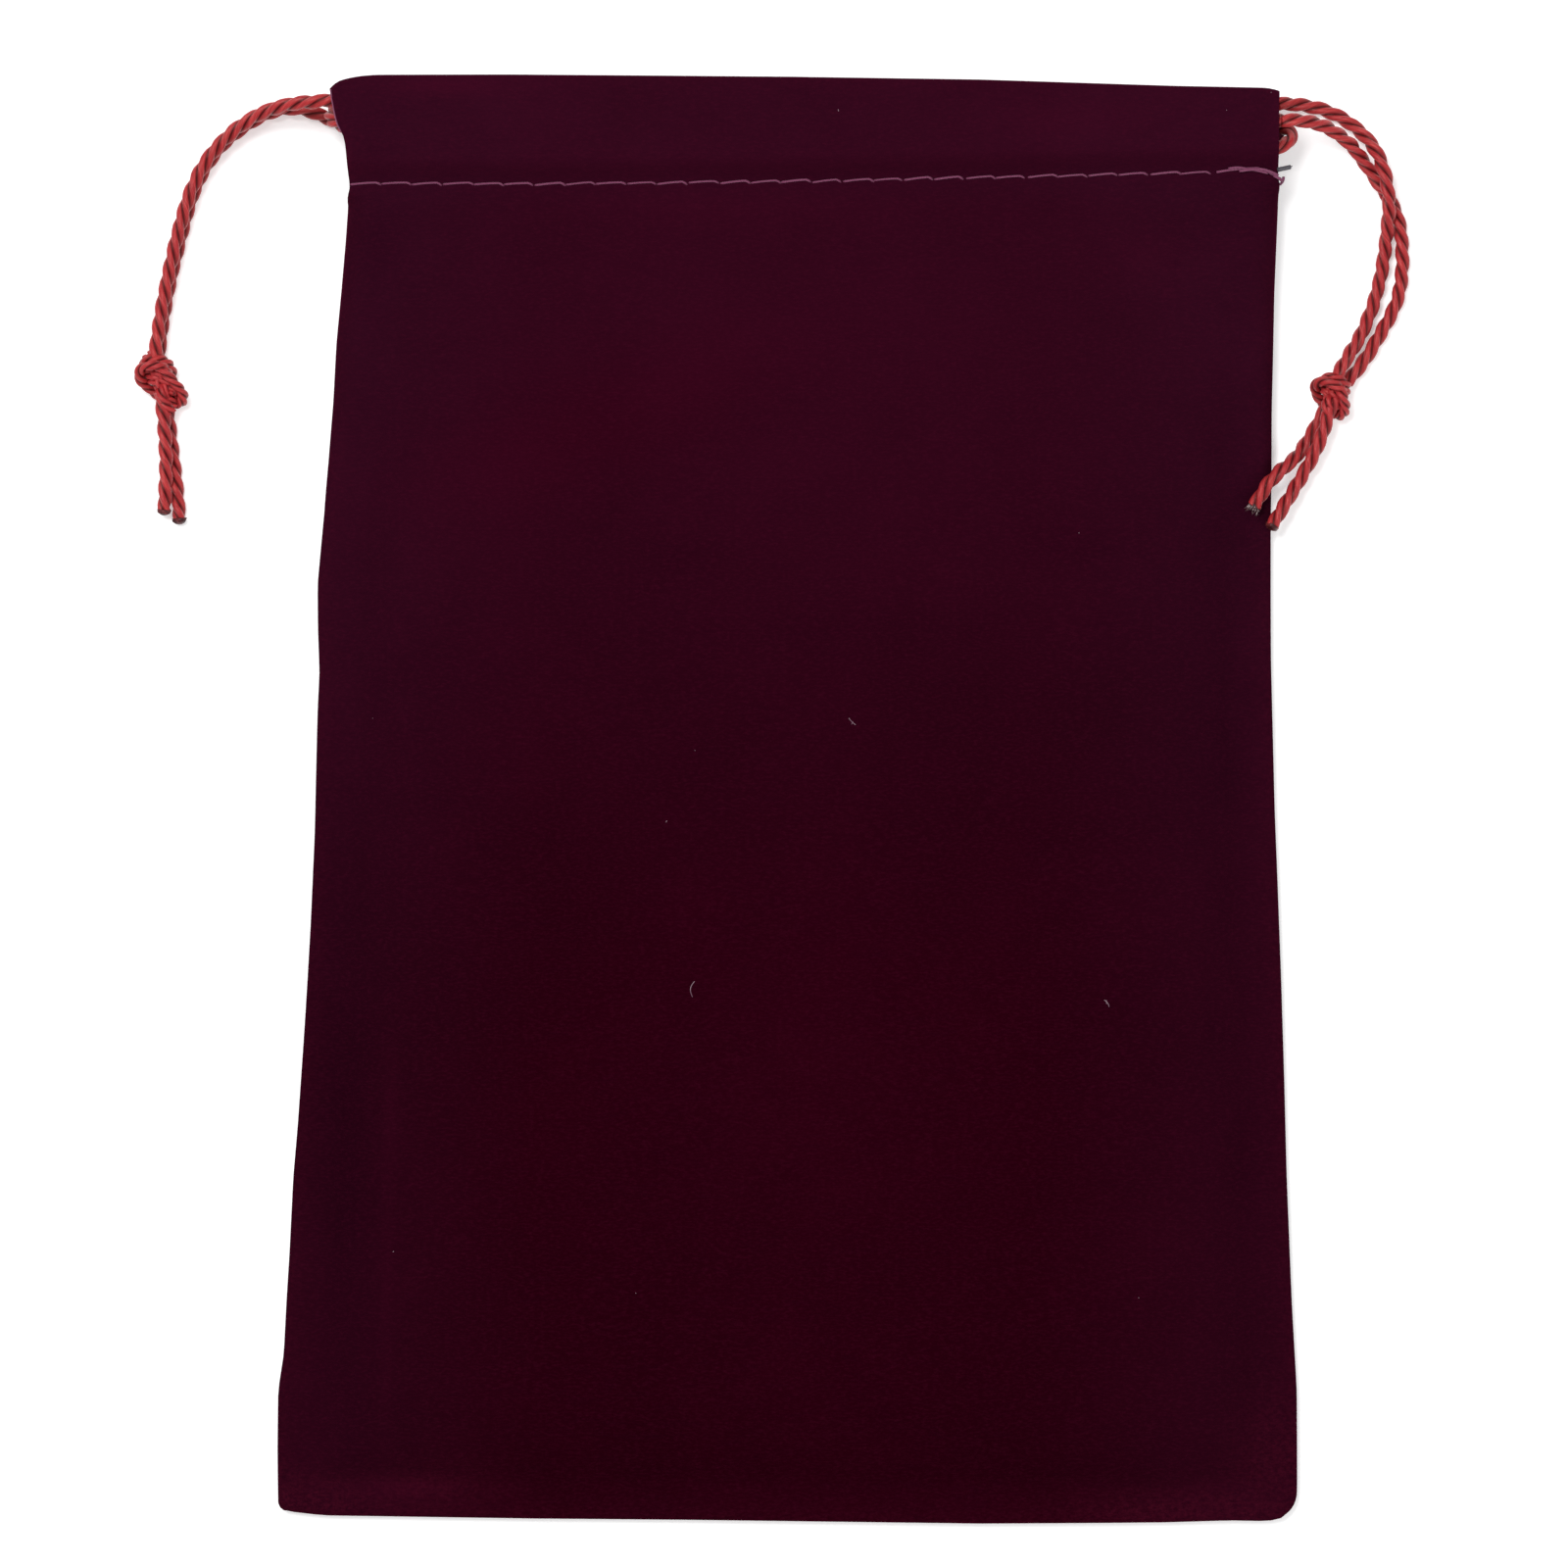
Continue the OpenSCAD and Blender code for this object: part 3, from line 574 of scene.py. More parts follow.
def knot(side, centre, along, kx, ky, kz, seed):
    """A tight overhand knot tied with both cords together."""
    body = side + "_drawstring"
    along = np.array(along, float)
    along /= np.linalg.norm(along)
    up = np.array([0, 0, 1.0])
    across = np.cross(up, along)
    pieces = []
    path = np.array(KNOT)
    e = np.vstack([2 * path[0] - path[1], path, 2 * path[-1] - path[-2]])
    base = []
    for i in range(len(e) - 3):
        p0, p1, p2, p3 = e[i:i + 4]
        for t in np.linspace(0, 1, 20, endpoint=False):
            base.append(0.5 * (2 * p1 + (p2 - p0) * t + (2 * p0 - 5 * p1 + 4 * p2 - p3) * t * t + (3 * p1 - p0 - 3 * p2 + p3) * t ** 3))
    base = soften(np.array(base) * [kx, ky, kz], 0.2, 0.5)
    t, n, b = frames(base, (0, 0, 1))
    s = np.linspace(0, 1, len(base))
    rad = 0.94

    def put(local, k, lay, size):
        w = np.array(centre) + local[:, :1] * across + local[:, 1:2] * along + local[:, 2:3] * up
        w[:, 2] += np.clip(size + 0.03 - w[:, 2], 0, None)
        q = np.linspace(0, 1, len(w))
        pinch = 1 - 0.10 * np.sin(q * 23 + k) ** 2
        pieces.append(twisted(w, size, 1.3 * k, (0, 0, 1), s0=20.0 * k, wobble=0.08, seed=seed + k, scale=pinch, lay=lay))

    for k in (0, 1):
        w = math.radians(20) + k * math.pi + s * math.radians(210)
        put(base + 0.72 * (np.cos(w)[:, None] * b + np.sin(w)[:, None] * n), k, 5.6, rad)
    # what is squeezed into the middle
    for k in range(4):
        q = np.linspace(-1, 1, 26)
        ang = math.radians(90 * k + 30)
        wind = ang + q * 1.9
        core = np.stack([1.05 * kx * np.cos(wind) + 0.2 * kx, q * 2.7 * ky, 1.05 * kz * np.sin(wind)], 1)
        put(core, 3 + k, 5.6, 0.82)
    heart = soften(np.array([(-1.7, -2.5, 0.2), (-0.7, -1.3, 0.5), (0.4, 0.4, 0.3), (1.3, 2.2, 0.1)]) * [kx, ky, kz], 0.2, 0.4)
    put(heart, 9, 5.6, 1.15)
    put(heart * [0.6, 0.8, 1] + [-0.5 * kx, 0.9 * ky, -0.2], 10, 5.6, 1.0)
    o = cord_piece(side + "_drawstring_knot_cord", pieces, body)
    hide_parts(side + "_drawstring_knot")
    return o


def tail(name, node, side, route, phase, lead, end_scale):
    """A tail with its lead-in from the knot, its plies drawing together at the sealed end."""
    line = soften(list(lead) + list(route), 0.27, 1.3)
    n = len(line)
    sc = np.ones(n)
    k = min(5, n)
    sc[-k:] = np.linspace(1, end_scale, k)
    o = cord_piece(name, [twisted(line, CORD_R, phase, (0, 0, 1), scale=sc, wobble=0.04, seed=31)], side + "_drawstring")
    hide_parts(node)
    return o, line


def melted(line, rad, length, seed, squeeze=1.0):
    """A lumpy sealed end that carries on from a tail."""
    d = line[-1] - line[-4]
    d /= np.linalg.norm(d)
    r = np.random.default_rng(seed)
    path = line[-1] - 0.25 * d + d * np.linspace(0, length + 0.25, 8)[:, None]
    t, n, b = frames(path, (0, 0, 1))
    M = 18
    a = np.arange(M) * math.tau / M
    lump = 1 + 0.10 * np.sin(3 * a + r.uniform(0, 6)) + 0.07 * np.sin(5 * a + r.uniform(0, 6))
    prof = [1.0, 1.02, 1.0, 0.97, 0.9, 0.78, 0.55, 0.22]
    V = []
    for i in range(8):
        q = rad * prof[i] * (lump + 0.05 * r.standard_normal(M))
        V.append(path[i] + (q * np.cos(a))[:, None] * n[i] + (q * squeeze * np.sin(a))[:, None] * b[i])
    V = np.vstack(V + [path[-1:] + 0.03 * d, path[:1]])
    V[:, 2] = np.maximum(V[:, 2], 0.03)
    Fc, U = [], []
    for i in range(7):
        for j in range(M):
            j2 = (j + 1) % M
            Fc.append((i * M + j, i * M + j2, (i + 1) * M + j2, (i + 1) * M + j))
            U += [(i, j / M)] * 4
    for j in range(M):
        Fc.append((8 * M, 7 * M + j, 7 * M + (j + 1) % M))
        Fc.append((8 * M + 1, (j + 1) % M, j))
        U += [(0, 0)] * 6
    return V, Fc, U


def fibre(points, rad, taper=True, M=5):
    """A thin thread or fibre along points."""
    p = np.asarray(points, float)
    t, n, b = frames(p, (0.1, 0.2, 1))
    s = np.concatenate([[0], np.cumsum(np.linalg.norm(np.diff(p, axis=0), axis=1))])
    a = np.arange(M) * math.tau / M
    V = []
    for i in range(len(p)):
        k = rad * (1 - 0.75 * (i / (len(p) - 1)) ** 2 if taper else 1)
        V.append(p[i] + (k * np.cos(a))[:, None] * n[i] + (k * np.sin(a))[:, None] * b[i])
    V = np.vstack(V)
    m = len(p)
    Fc, U = [], []
    for i in range(m - 1):
        for j in range(M):
            j2 = (j + 1) % M
            Fc.append((i * M + j, i * M + j2, (i + 1) * M + j2, (i + 1) * M + j))
            U += [(s[i], j / M), (s[i], (j + 1) / M), (s[i + 1], (j + 1) / M), (s[i + 1], j / M)]
    Fc.append(tuple(range(M - 1, -1, -1)))
    U += [(0, 0)] * M
    Fc.append(tuple((m - 1) * M + j for j in range(M)))
    U += [(s[-1], 0)] * M
    return V, Fc, U


def joined(items):
    V, Fc, U, off = [], [], [], 0
    for v, f, u in items:
        V.append(v)
        Fc += [tuple(i + off for i in x) for x in f]
        U += u
        off += len(v)
    return np.vstack(V), Fc, U


l_run, l_run_line, l_front, l_front_line, l_back, l_back_line = drawstring("left", LEFT_RUN, LEFT_FRONT_LEG, LEFT_BACK_LEG, 0.4)
r_run, r_run_line, r_front, r_front_line, r_back, r_back_line = drawstring("right", RIGHT_RUN, RIGHT_FRONT_LEG, RIGHT_BACK_LEG, 1.1)

l_knot = knot("left", (-99.25, 66.0, 3.1), (0.42, -0.907, 0.0), 0.80, 1.0, 0.95, 41)
r_knot = knot("right", (86.1, 63.9, 3.1), (-0.12, -0.99, 0.0), 0.78, 0.66, 0.92, 51)

l_ft, l_ft_line = tail("left_drawstring_front_tail_cord", "left_drawstring_front_tail", "left", LEFT_FRONT_TAIL, 0.3, [(-99.3, 64.4, 3.8)], 0.93)
l_bt, l_bt_line = tail("left_drawstring_back_tail_cord", "left_drawstring_back_tail", "left", LEFT_BACK_TAIL, 1.4, [(-98.6, 64.4, 2.0)], 0.93)
r_it, r_it_line = tail("right_drawstring_inner_tail_cord", "right_drawstring_inner_tail", "right", RIGHT_INNER_TAIL, 2.3, [(86.2, 63.4, 2.2)], 1.0)
r_ot, r_ot_line = tail("right_drawstring_outer_tail_cord", "right_drawstring_outer_tail", "right", RIGHT_OUTER_TAIL, 0.6, [(86.4, 63.4, 4.0)], 0.9)


def tips(side, ends, frayed=()):
    V, Fc, U = joined([melted(line, CORD_R * k, ln, sd) for line, k, ln, sd in ends])
    o = new_object(side + "_drawstring_tips_melt", V, Fc, TIP, uv=U)
    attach(o, side + "_drawstring")
    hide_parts(side + "_drawstring_tips")
    out = [o]
    if frayed:
        items = []
        r = np.random.default_rng(77)
        for line, count, reach in frayed:
            d = line[-1] - line[-4]
            d /= np.linalg.norm(d)
            for _ in range(count):
                a = r.uniform(0, math.tau)
                rad = CORD_R * math.sqrt(r.uniform(0.1, 1))
                side_v = np.cross(d, [0, 0, 1.0])
                side_v /= np.linalg.norm(side_v)
                up_v = np.cross(side_v, d)
                radial = math.cos(a) * side_v + math.sin(a) * up_v
                p0 = line[-1] - 0.3 * d + radial * rad * 0.85
                bend = radial * r.uniform(0.1, 0.7) + r.standard_normal(3) * 0.25
                L = reach * r.uniform(0.45, 1.0)
                q = np.linspace(0, 1, 7)[:, None]
                pts = p0 + d * L * q + bend * L * 0.6 * q ** 2
                pts[:, 2] = np.maximum(pts[:, 2], 3.4)
                items.append(fibre(pts, r.uniform(0.05, 0.09)))
        V, Fc, U = joined(items)
        f = new_object(side + "_drawstring_frayed_fibres", V, Fc, FRAY, uv=U)
        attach(f, side + "_drawstring")
        out.append(f)
    return out


l_tips = tips("left", [(l_ft_line, 0.93, 0.75, 5), (l_bt_line, 0.93, 0.75, 6)])
# the right inner tail's short dark end among its frayed fibres is painted shade for the hollow there; the other ends
# are melted
r_tips = tips("right", [(r_it_line, 0.62, 0.30, 7), (r_ot_line, 0.90, 0.7, 8)], [(r_it_line, 44, 1.5)])


# ---------------------------------------------------------------- cloth
T = 0.8
XR = table_fn([(-116, 80.9), (-112.4, 80.7), (-110.5, 80.95), (-106, 80.95), (-93.8, 80.9), (-79.8, 80.1), (-60, 79.3), (-44.2, 78.9),
               (-28, 78.4), (-12, 77.8), (-2, 77.4), (10, 77.1), (22, 76.8), (33.3, 76.75), (60, 76.8), (79.8, 77.05), (96.9, 77.7), (111.9, 77.7), (114, 77.5)])
XL = table_fn([(-116, 80.9), (-112.4, 81.0), (-103.1, 81.1), (-93.8, 81.0), (-88, 80.1), (-80, 79.7), (-72.1, 79.2), (-60, 78.6),
               (-51.9, 77.9), (-44, 77.35), (-36, 76.8), (-28.7, 76.35), (-20, 75.85), (-5.4, 75.2), (6, 74.95), (14, 74.75), (20, 74.45), (27, 74.7), (34, 74.75),
               (41, 74.1), (53.5, 72.9), (64, 72.05), (72, 71.55), (79.8, 70.75), (88, 70.0), (93.5, 69.6), (96.9, 69.5), (102.3, 70.0), (104.6, 70.3),
               (105.2, 70.9), (107, 71.5), (109.6, 72.0), (111.4, 72.3), (116, 72.3)], 0.9)
YTOP = table_fn([(-73, 110.9), (-72.2, 111.6), (-71.6, 112.3), (-71.1, 112.8), (-70.4, 113.2), (-68.8, 113.6), (-67.3, 113.85), (-65, 114.05),
                 (-44, 114.1), (0, 113.75), (30.4, 113.3), (61, 112.3), (75.4, 112.0), (76.9, 111.7), (78, 111.2)], 0.4)
YBOT = table_fn([(-82, -112.9), (-80.6, -113.0), (-73.5, -113.8), (-40, -114.3), (-16.1, -114.5), (30.4, -115.1), (50, -115.0), (60, -114.9),
                 (70, -114.6), (75.4, -114.7), (77.8, -114.5), (79.0, -113.6), (80.2, -112.2), (81.0, -110.9), (81.6, -109.9)], 0.7)
YST = table_fn([(-72, 97.0), (-40, 96.9), (0, 97.3), (30, 97.9), (60, 98.6), (80, 98.9)], 6)


def z_seam(y):
    return np.interp(y, [45, 93.4], [1.6, 5.15])


def z_band(y):
    return np.interp(y, [45, 93.4], [2.8, 9.9])


def plateau(y):
    return np.interp(y, [86, 93.4], [9.1, 9.9])


def soft_min(a, b, k=0.45):
    return -k * np.log(np.exp(-np.clip(a, -5, 60) / k) + np.exp(-np.clip(b, -5, 60) / k))


def edge_x(x, y):
    return np.where(np.asarray(x) < 0, XL(y), XR(y)) - T / 2


def flare(y):
    """The back layer stands out a little past the front one at the right-hand opening; its dark backing stands in for
    the deep shade in the mouth there, partly the back layer's end and partly painted shade.
    """
    return 1.9 * np.exp(-((np.asarray(y) - 105.9) / 1.5) ** 2)


def weight(x, y):
    """How far a point of the cloth goes with the end of the mouth as it gathers."""
    fade = sstep(-25, 97, y)
    return np.clip(np.abs(x) / (edge_x(x, y) + T / 2 - 7.5), 0, 1) * fade


def panel_parts(x, y):
    d = np.clip(soft_min(edge_x(x, y) - np.abs(x), y - (YBOT(x) + T / 2)), 0, None)
    s = np.clip((d - 6) / 18, 0, 1)
    crown = z_band(y) + (plateau(y) - z_band(y)) * s * (2 - s)
    h = y - YST(x)
    curl = 1 - sstep(-4.0, -0.8, h)
    c = np.maximum(z_band(y) - z_seam(y), 0.2)
    q = np.clip(d / c, 0, 1)
    round_ = np.sqrt(np.clip(1 - (1 - q) ** 2, 0, 1))
    round_ = 1 - (1 - round_) * curl
    inside = sstep(3, 26, d)
    return d, s, crown, h, curl, round_, inside


def front_z(x, y):
    """Middle of the front cloth's outer layer."""
    d, s, crown, h, curl, round_, inside = panel_parts(x, y)
    z = z_seam(y) + (crown - z_seam(y)) * round_
    low = 1 - sstep(-12, -3, h)
    z = z + inside * low * (0.30 * waves(x, y, 5, 46) + 0.14 * waves(x, y, 6, 17) - 0.25)
    z = z + (1 - inside) * sstep(2, 8, d) * low * 0.16 * waves(x, y, 8, 15)
    ch = sstep(0.2, 4.3, h)                     # the channel stands up above the row of stitches
    z = z + ch * (12.6 - 9.9)
    z = z - ch * (0.10 + 0.16 * waves(x, y, 12, 30) * sstep(4, 8, h))
    ripple = np.sin(x * math.tau / 5.3 + 1.2 * np.sin(x / 9.0)) * (0.55 + 0.45 * np.sin(x / 13.0 + 1))
    z = z + 0.085 * ripple * sstep(-16, 0, h)
    z = z - 0.20 * np.exp(-(h / 0.9) ** 2)
    z = z - 0.13 * (0.5 + 0.5 * np.cos(x * math.tau / 4.85)) * np.exp(-((h + 1.2) / 1.8) ** 2)
    return z


def back_z(x, y):
    d, s, crown, h, curl, round_, inside = panel_parts(x, y)
    return z_seam(y) - (z_seam(y) - 0.42) * round_


def side_cols(side, y, c):
    """Distances in from the side edge at nine columns, from 0 out to c."""
    th = np.radians(np.linspace(0, 90, 9))
    return c[:, None] * (1 - np.cos(th))[None, :]


def cloth(name, side, front):
    """Half of one panel with its channel: up the outer layer, over the top fold and down to the turned-in hem."""
    sgn = 1 if side == "right" else -1
    # rows as (kind, value)
    th = np.radians(np.linspace(0, 90, 8))
    low = list(1.2 * (1 - np.cos(th))) + [1.8, 2.6, 3.6, 4.8, 6.2, 7.8, 9.6, 11.6]
    rows = [("low", v) for v in low]
    mid = np.linspace(0, 1, 92)[1:]
    rows += [("mid", v) for v in mid[:-1]]
    rows += [("hem", v) for v in (-8.0, -7.0, -6.0, -5.0, -4.2, -3.4, -2.7, -2.0, -1.4, -0.9, -0.45, 0.0, 0.4, 0.8, 1.3, 1.9, 2.6, 3.4, 4.2)]
    rows += [("top", v) for v in np.linspace(0, 1, 11)[1:]]
    rows += [("fold", v) for v in np.linspace(0, math.pi, 13)[1:-1]]
    rows += [("inn", v) for v in np.linspace(0, 1, 17)]
    th9 = np.radians(np.linspace(0, 90, 9))
    near = [5.6, 6.6, 7.8, 9.2, 10.8, 12.6]
    n_mid = 62
    P = []
    for kind, v in rows:
        # columns from the side edge in to the middle line
        y_guess = {"low": -112.0 + v, "mid": -102 + v * 190, "hem": 97.5 + v, "top": 102 + 10 * v, "fold": 113.0, "inn": 112 - 16 * v}[kind]
        y = np.full(9 + len(near) + n_mid, float(y_guess))
        for _ in range(4):
            c = z_band(y) - z_seam(y) if kind in ("low", "mid", "hem") else np.full_like(y, 4.75)
            c0 = c[0]
            cols = np.concatenate([c0 * (1 - np.cos(th9)), c0 + (12.6 - c0) * (np.array(near) - 4.8) / (12.6 - 4.8)])
            ex = edge_x(sgn * 1.0, y) + (flare(y) if sgn > 0 and not front and kind == "top" else 0)
            inset = 0.0
            if kind == "inn":
                inset = 6.0 * min(1.0, v * 5)
            elif kind == "fold" and v > math.pi / 2:
                inset = 0.0
            x_edge = ex - inset
            x = np.concatenate([x_edge[:len(cols)] - cols,
                                (x_edge[len(cols):] - 12.6) * (1 - np.arange(1, n_mid + 1) / n_mid)])
            x = x * sgn
            yb, yt, ys = YBOT(x) + T / 2, YTOP(x) - T / 2, YST(x)
            if kind == "low":
                y = yb + v
            elif kind == "mid":
                y = yb + 11.6 + (ys - 8.0 - yb - 11.6) * v
            elif kind == "hem":
                y = ys + v
            elif kind == "top":
                y = ys + 4.2 + (yt - 1.5 - ys - 4.2) * v
            elif kind == "fold":
                y = yt - 1.5 + 1.5 * math.sin(v)
            else:
                y = yt - 1.5 + (ys - 4.0 - yt + 1.5) * v
        if kind in ("low", "mid", "hem", "top"):
            z = front_z(x, y) if front else back_z(x, y)
        elif kind == "fold":
            if front:
                a, b = front_z(x, yt - 1.5), 9.1
            else:
                a, b = back_z(x, yt - 1.5), 3.9
            z = (a + b) / 2 + (a - b) / 2 * math.cos(v)
        else:
            if front:
                dip = np.interp(x, [-69, -66.5, -63.5, -45, -34, -22, -8, 56, 61, 65, 69, 71],
                                [0, 0.7, 1.4, 2.05, 2.4, 2.6, 2.65, 2.65, 2.6, 1.9, 0.6, 0]) \
                    * sstep(99.0, 100.9, y) * (1 - sstep(111.4, 113.2, y))
                z = 9.1 - dip + 0.05 * np.sin(x / 3.1)
            else:
                z = 1.25 + (3.9 - 1.25) * sstep(99.2, 101.6, y) + 0.04 * np.sin(x / 2.7)
        # the seam draws in between the two panels
        if kind in ("low", "mid", "hem"):
            h = y - YST(x)
            pull = 0.5 * np.exp(-((z - z_seam(y)) / 0.38) ** 2) * (1 - sstep(-5, -2, h))
            dside, dbot = edge_x(x, y) - np.abs(x), y - (YBOT(x) + T / 2)
            k = np.exp(-np.clip(dside, 0, 50) / 0.8)
            kb = np.exp(-np.clip(dbot, 0, 50) / 0.8)
            x = x - sgn * pull * k
            y = y + pull * kb
            z = z + (0.10 if front else -0.10) * np.exp(-((z - z_seam(y)) / 0.3) ** 2) * (1 - sstep(-5, -2, h))
        P.append(np.stack([x, y, z], axis=1))
    P = np.array(P)
    if sgn > 0:
        P = P[:, ::-1]
    # now columns run towards +x, rows from the bottom up and over
    nr, nc = P.shape[:2]
    di = np.gradient(P, axis=1)
    dj = np.gradient(P, axis=0)
    N = np.cross(di, dj)
    N /= np.maximum(np.linalg.norm(N, axis=2), 1e-9)[:, :, None]
    if not front:
        N = -N
    # both halves share the middle line, so nothing tilts across it
    mid_col = -1 if sgn < 0 else 0
    N[:, mid_col, 0] = 0
    N[:, mid_col] /= np.linalg.norm(N[:, mid_col], axis=1)[:, None]
    outer, inner = P + N * T / 2, P - N * T / 2
    V = np.vstack([outer.reshape(-1, 3), inner.reshape(-1, 3)])
    V[:, 2] = np.maximum(V[:, 2], 0.0)
    n = nr * nc
    idx = np.arange(n).reshape(nr, nc)
    a, b, c, d = idx[:-1, :-1].ravel(), idx[:-1, 1:].ravel(), idx[1:, 1:].ravel(), idx[1:, :-1].ravel()
    up = np.stack([a, b, c, d], 1)
    dn = np.stack([a + n, d + n, c + n, b + n], 1)
    if not front:
        up, dn = up[:, ::-1], dn[:, ::-1]
    faces = [tuple(f) for f in up] + [tuple(f) for f in dn]
    fm = [0] * len(up) + [1] * len(dn)
    sm = [True] * len(faces)
    ring = list(idx[0, :]) + list(idx[1:, -1]) + list(idx[-1, -2::-1]) + list(idx[-2:0:-1, 0])
    for i in range(len(ring)):
        p, q = ring[i], ring[(i + 1) % len(ring)]
        f = (q, p, p + n, q + n)
        faces.append(f if front else f[::-1])
        fm.append(1)
        sm.append(False)
    o = new_object(name, V, faces, [VELVET, INSIDE], smooth=sm, face_mat=fm)
    rim = {frozenset((ring[i] + k, ring[(i + 1) % len(ring)] + k)) for i in range(len(ring)) for k in (0, n)}
    for e in o.data.edges:
        if frozenset(e.vertices) in rim:
            e.use_edge_sharp = True
    # for the material: painted sheen with some wear along the edges and corners, lighter patches that are partly
    # stroked pile and partly painted light, and patches of painted shade
    x, y = V[:, 0], V[:, 1]
    d = soft_min(edge_x(x, y) + T / 2 - np.abs(x), y - YBOT(x))
    top = YTOP(x) - y
    edge = np.exp(-np.clip(d, 0, None) / 1.6) + 0.55 * np.exp(-np.clip(top, 0, None) / 1.2)
    # painted sheen at the bottom corners, partly wear
    corner = np.exp(-(((x + 76) / 9) ** 2 + ((y + 111) / 4) ** 2)) + np.exp(-(((x - 62) / 16) ** 2 + ((y + 112.5) / 3) ** 2)) \
        + np.exp(-(((x - 76) / 6) ** 2 + ((y + 104) / 9) ** 2)) * 0.8 + 0.7 * np.exp(-(((x + 56) / 9) ** 2 + ((y + 109) / 3.5) ** 2))
    point_attr(o, "edge", np.clip(edge * 0.8 + corner * 0.9, 0, 1))

    def blob(X, Y, rx, ry, ang=0.0):
        ca, sa = math.cos(math.radians(ang)), math.sin(math.radians(ang))
        u, w = (x - X) * ca + (y - Y) * sa, -(x - X) * sa + (y - Y) * ca
        return np.exp(-(u / rx) ** 2 - (w / ry) ** 2)

    # lighter patches, partly stroked pile and partly painted light where ridges and bumps catch the light
    nap_and_painted_light = 0.10 * blob(-0.6, 75.2, 58.9, 26.4) + 0.16 * blob(-47.1, 51.9, 13.9, 7, 10) + 0.30 * blob(-54.1, 112.1, 9.3, 1.4) \
        + 0.16 * blob(45.9, 107, 13.9, 3.4) + 0.12 * blob(-6.8, 93, 24.8, 2.8) + 0.14 * blob(-62.6, -48.8, 1.1, 9.3) \
        + 0.10 * blob(-17.7, 65.9, 21.7, 6.2, 25) + 0.08 * blob(-0.6, -28.7, 24.8, 46.5) + 0.25 * blob(-62.6, -109.3, 9.3, 1.4) \
        + 0.12 * blob(-63.4, -78.3, 0.9, 26.4) + 0.10 * blob(58.3, 86, 12.4, 4)
    # painted shade: dark bands beside the side seams, thin crease shadows, and a spot under the right inner tail's
    # frayed tip
    shade = 0.55 * blob(-70.1, -59.7, 5.3, 40.3, 2) + 0.40 * blob(-64.9, 87.6, 4.7, 7) + 0.20 * blob(-50.2, 19.4, 13.9, 3.9) \
        + 0.25 * blob(-17.7, 38, 6.2, 2.8) + 0.30 * blob(69.1, 8.5, 5.3, 34.1) + 0.22 * blob(71, -59.7, 6.2, 37.2) \
        + 0.16 * blob(39.7, 39.5, 13.9, 3.7) + 0.16 * blob(63.7, 89.1, 7.1, 5.6) + 0.18 * blob(11.8, 27.1, 20.1, 3.1) + 0.14 * blob(8.7, 58.1, 9.3, 1.9) \
        + 0.14 * blob(53.6, 39.5, 12.4, 2.5) + 0.45 * blob(73.3, 45.7, 2.2, 2.5) + 0.2 * blob(74.6, 95.3, 3.1, 9.3)
    h = y - YST(x)
    # painted light: a lighter band on the slope just above the row of stitches. The channel is also lighter overall,
    # and the cloth lighter towards the top.
    nap_and_painted_light = nap_and_painted_light + 0.10 * np.exp(-((h - 2.2) / 1.9) ** 2) + 0.11 * sstep(-5, 60, y) * (1 - 0.4 * sstep(35, 70, np.abs(x))) + 0.05 * sstep(0, 3, h)
    purple = 0.05 + 0.60 * sstep(-50, 100, y) + 0.42 * sstep(35, 76, np.abs(x)) + 0.25 * sstep(92, 99, y) \
        - 0.30 * blob(-28.5, 59.7, 29.4, 9.3, 20) - 0.20 * blob(-2.2, -56.6, 35.6, 40.3)
    point_attr(o, "purple", np.clip(purple, 0, 1))
    point_attr(o, "nap_and_painted_light", np.clip(nap_and_painted_light, 0, 1))
    point_attr(o, "shade", np.clip(shade, 0, 1))
    return o, V


def gather(o, w):
    """Bakes o's transform into its mesh; o is not drawn in with the mouth here. w, the share of the end's travel at
    each point, is not used.
    """
    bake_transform(o)


cloths = {}
for side in ("left", "right"):
    for front in (True, False):
        name = f"{'front' if front else 'back'}_cloth_{side}"
        o, V = cloth(name, side, front)
        gather(o, weight(V[:, 0], V[:, 1]))
        cloths[name] = o
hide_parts("front_panel", "left_front_casing_end")
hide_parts("front_casing", "right_front_casing_end")
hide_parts("back_panel", "left_back_casing_end")
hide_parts("back_casing", "right_back_casing_end")


# ---------------------------------------------------------------- seam allowances and seams
def strip(path_in, path_out, lift, thick, wavy, seed):
    """A narrow closed strip of cloth between two lines."""
    k = 7
    P = np.array([path_out + (path_in - path_out) * q for q in np.linspace(0, 1, k)])       # k x rows
    P = P.transpose(1, 0, 2)
    q = np.linspace(0, 1, k)[None, :]
    P[:, :, 2] += lift + wavy * q * waves(P[:, :, 0] * 3, P[:, :, 1], seed, 11)
    di, dj = np.gradient(P, axis=1), np.gradient(P, axis=0)
    N = np.cross(di, dj)
    N /= np.linalg.norm(N, axis=2)[:, :, None]
    N *= np.sign(N[:, :, 2:3]) + (N[:, :, 2:3] == 0)
    up, dn = P + N * thick / 2, P - N * thick / 2
    nr, nc = P.shape[:2]
    n = nr * nc
    V = np.vstack([up.reshape(-1, 3), dn.reshape(-1, 3)])
    idx = np.arange(n).reshape(nr, nc)
    a, b, c, d = idx[:-1, :-1].ravel(), idx[:-1, 1:].ravel(), idx[1:, 1:].ravel(), idx[1:, :-1].ravel()
    F1 = [tuple(f) for f in np.stack([a, b, c, d], 1)]
    F2 = [tuple(f) for f in np.stack([a + n, d + n, c + n, b + n], 1)]
    ring = list(idx[0, :]) + list(idx[1:, -1]) + list(idx[-1, -2::-1]) + list(idx[-2:0:-1, 0])
    F3 = [(ring[(i + 1) % len(ring)], ring[i], ring[i] + n, ring[(i + 1) % len(ring)] + n) for i in range(len(ring))]
    return V, F1 + F2 + F3, [True] * (len(F1) + len(F2)) + [False] * len(F3)


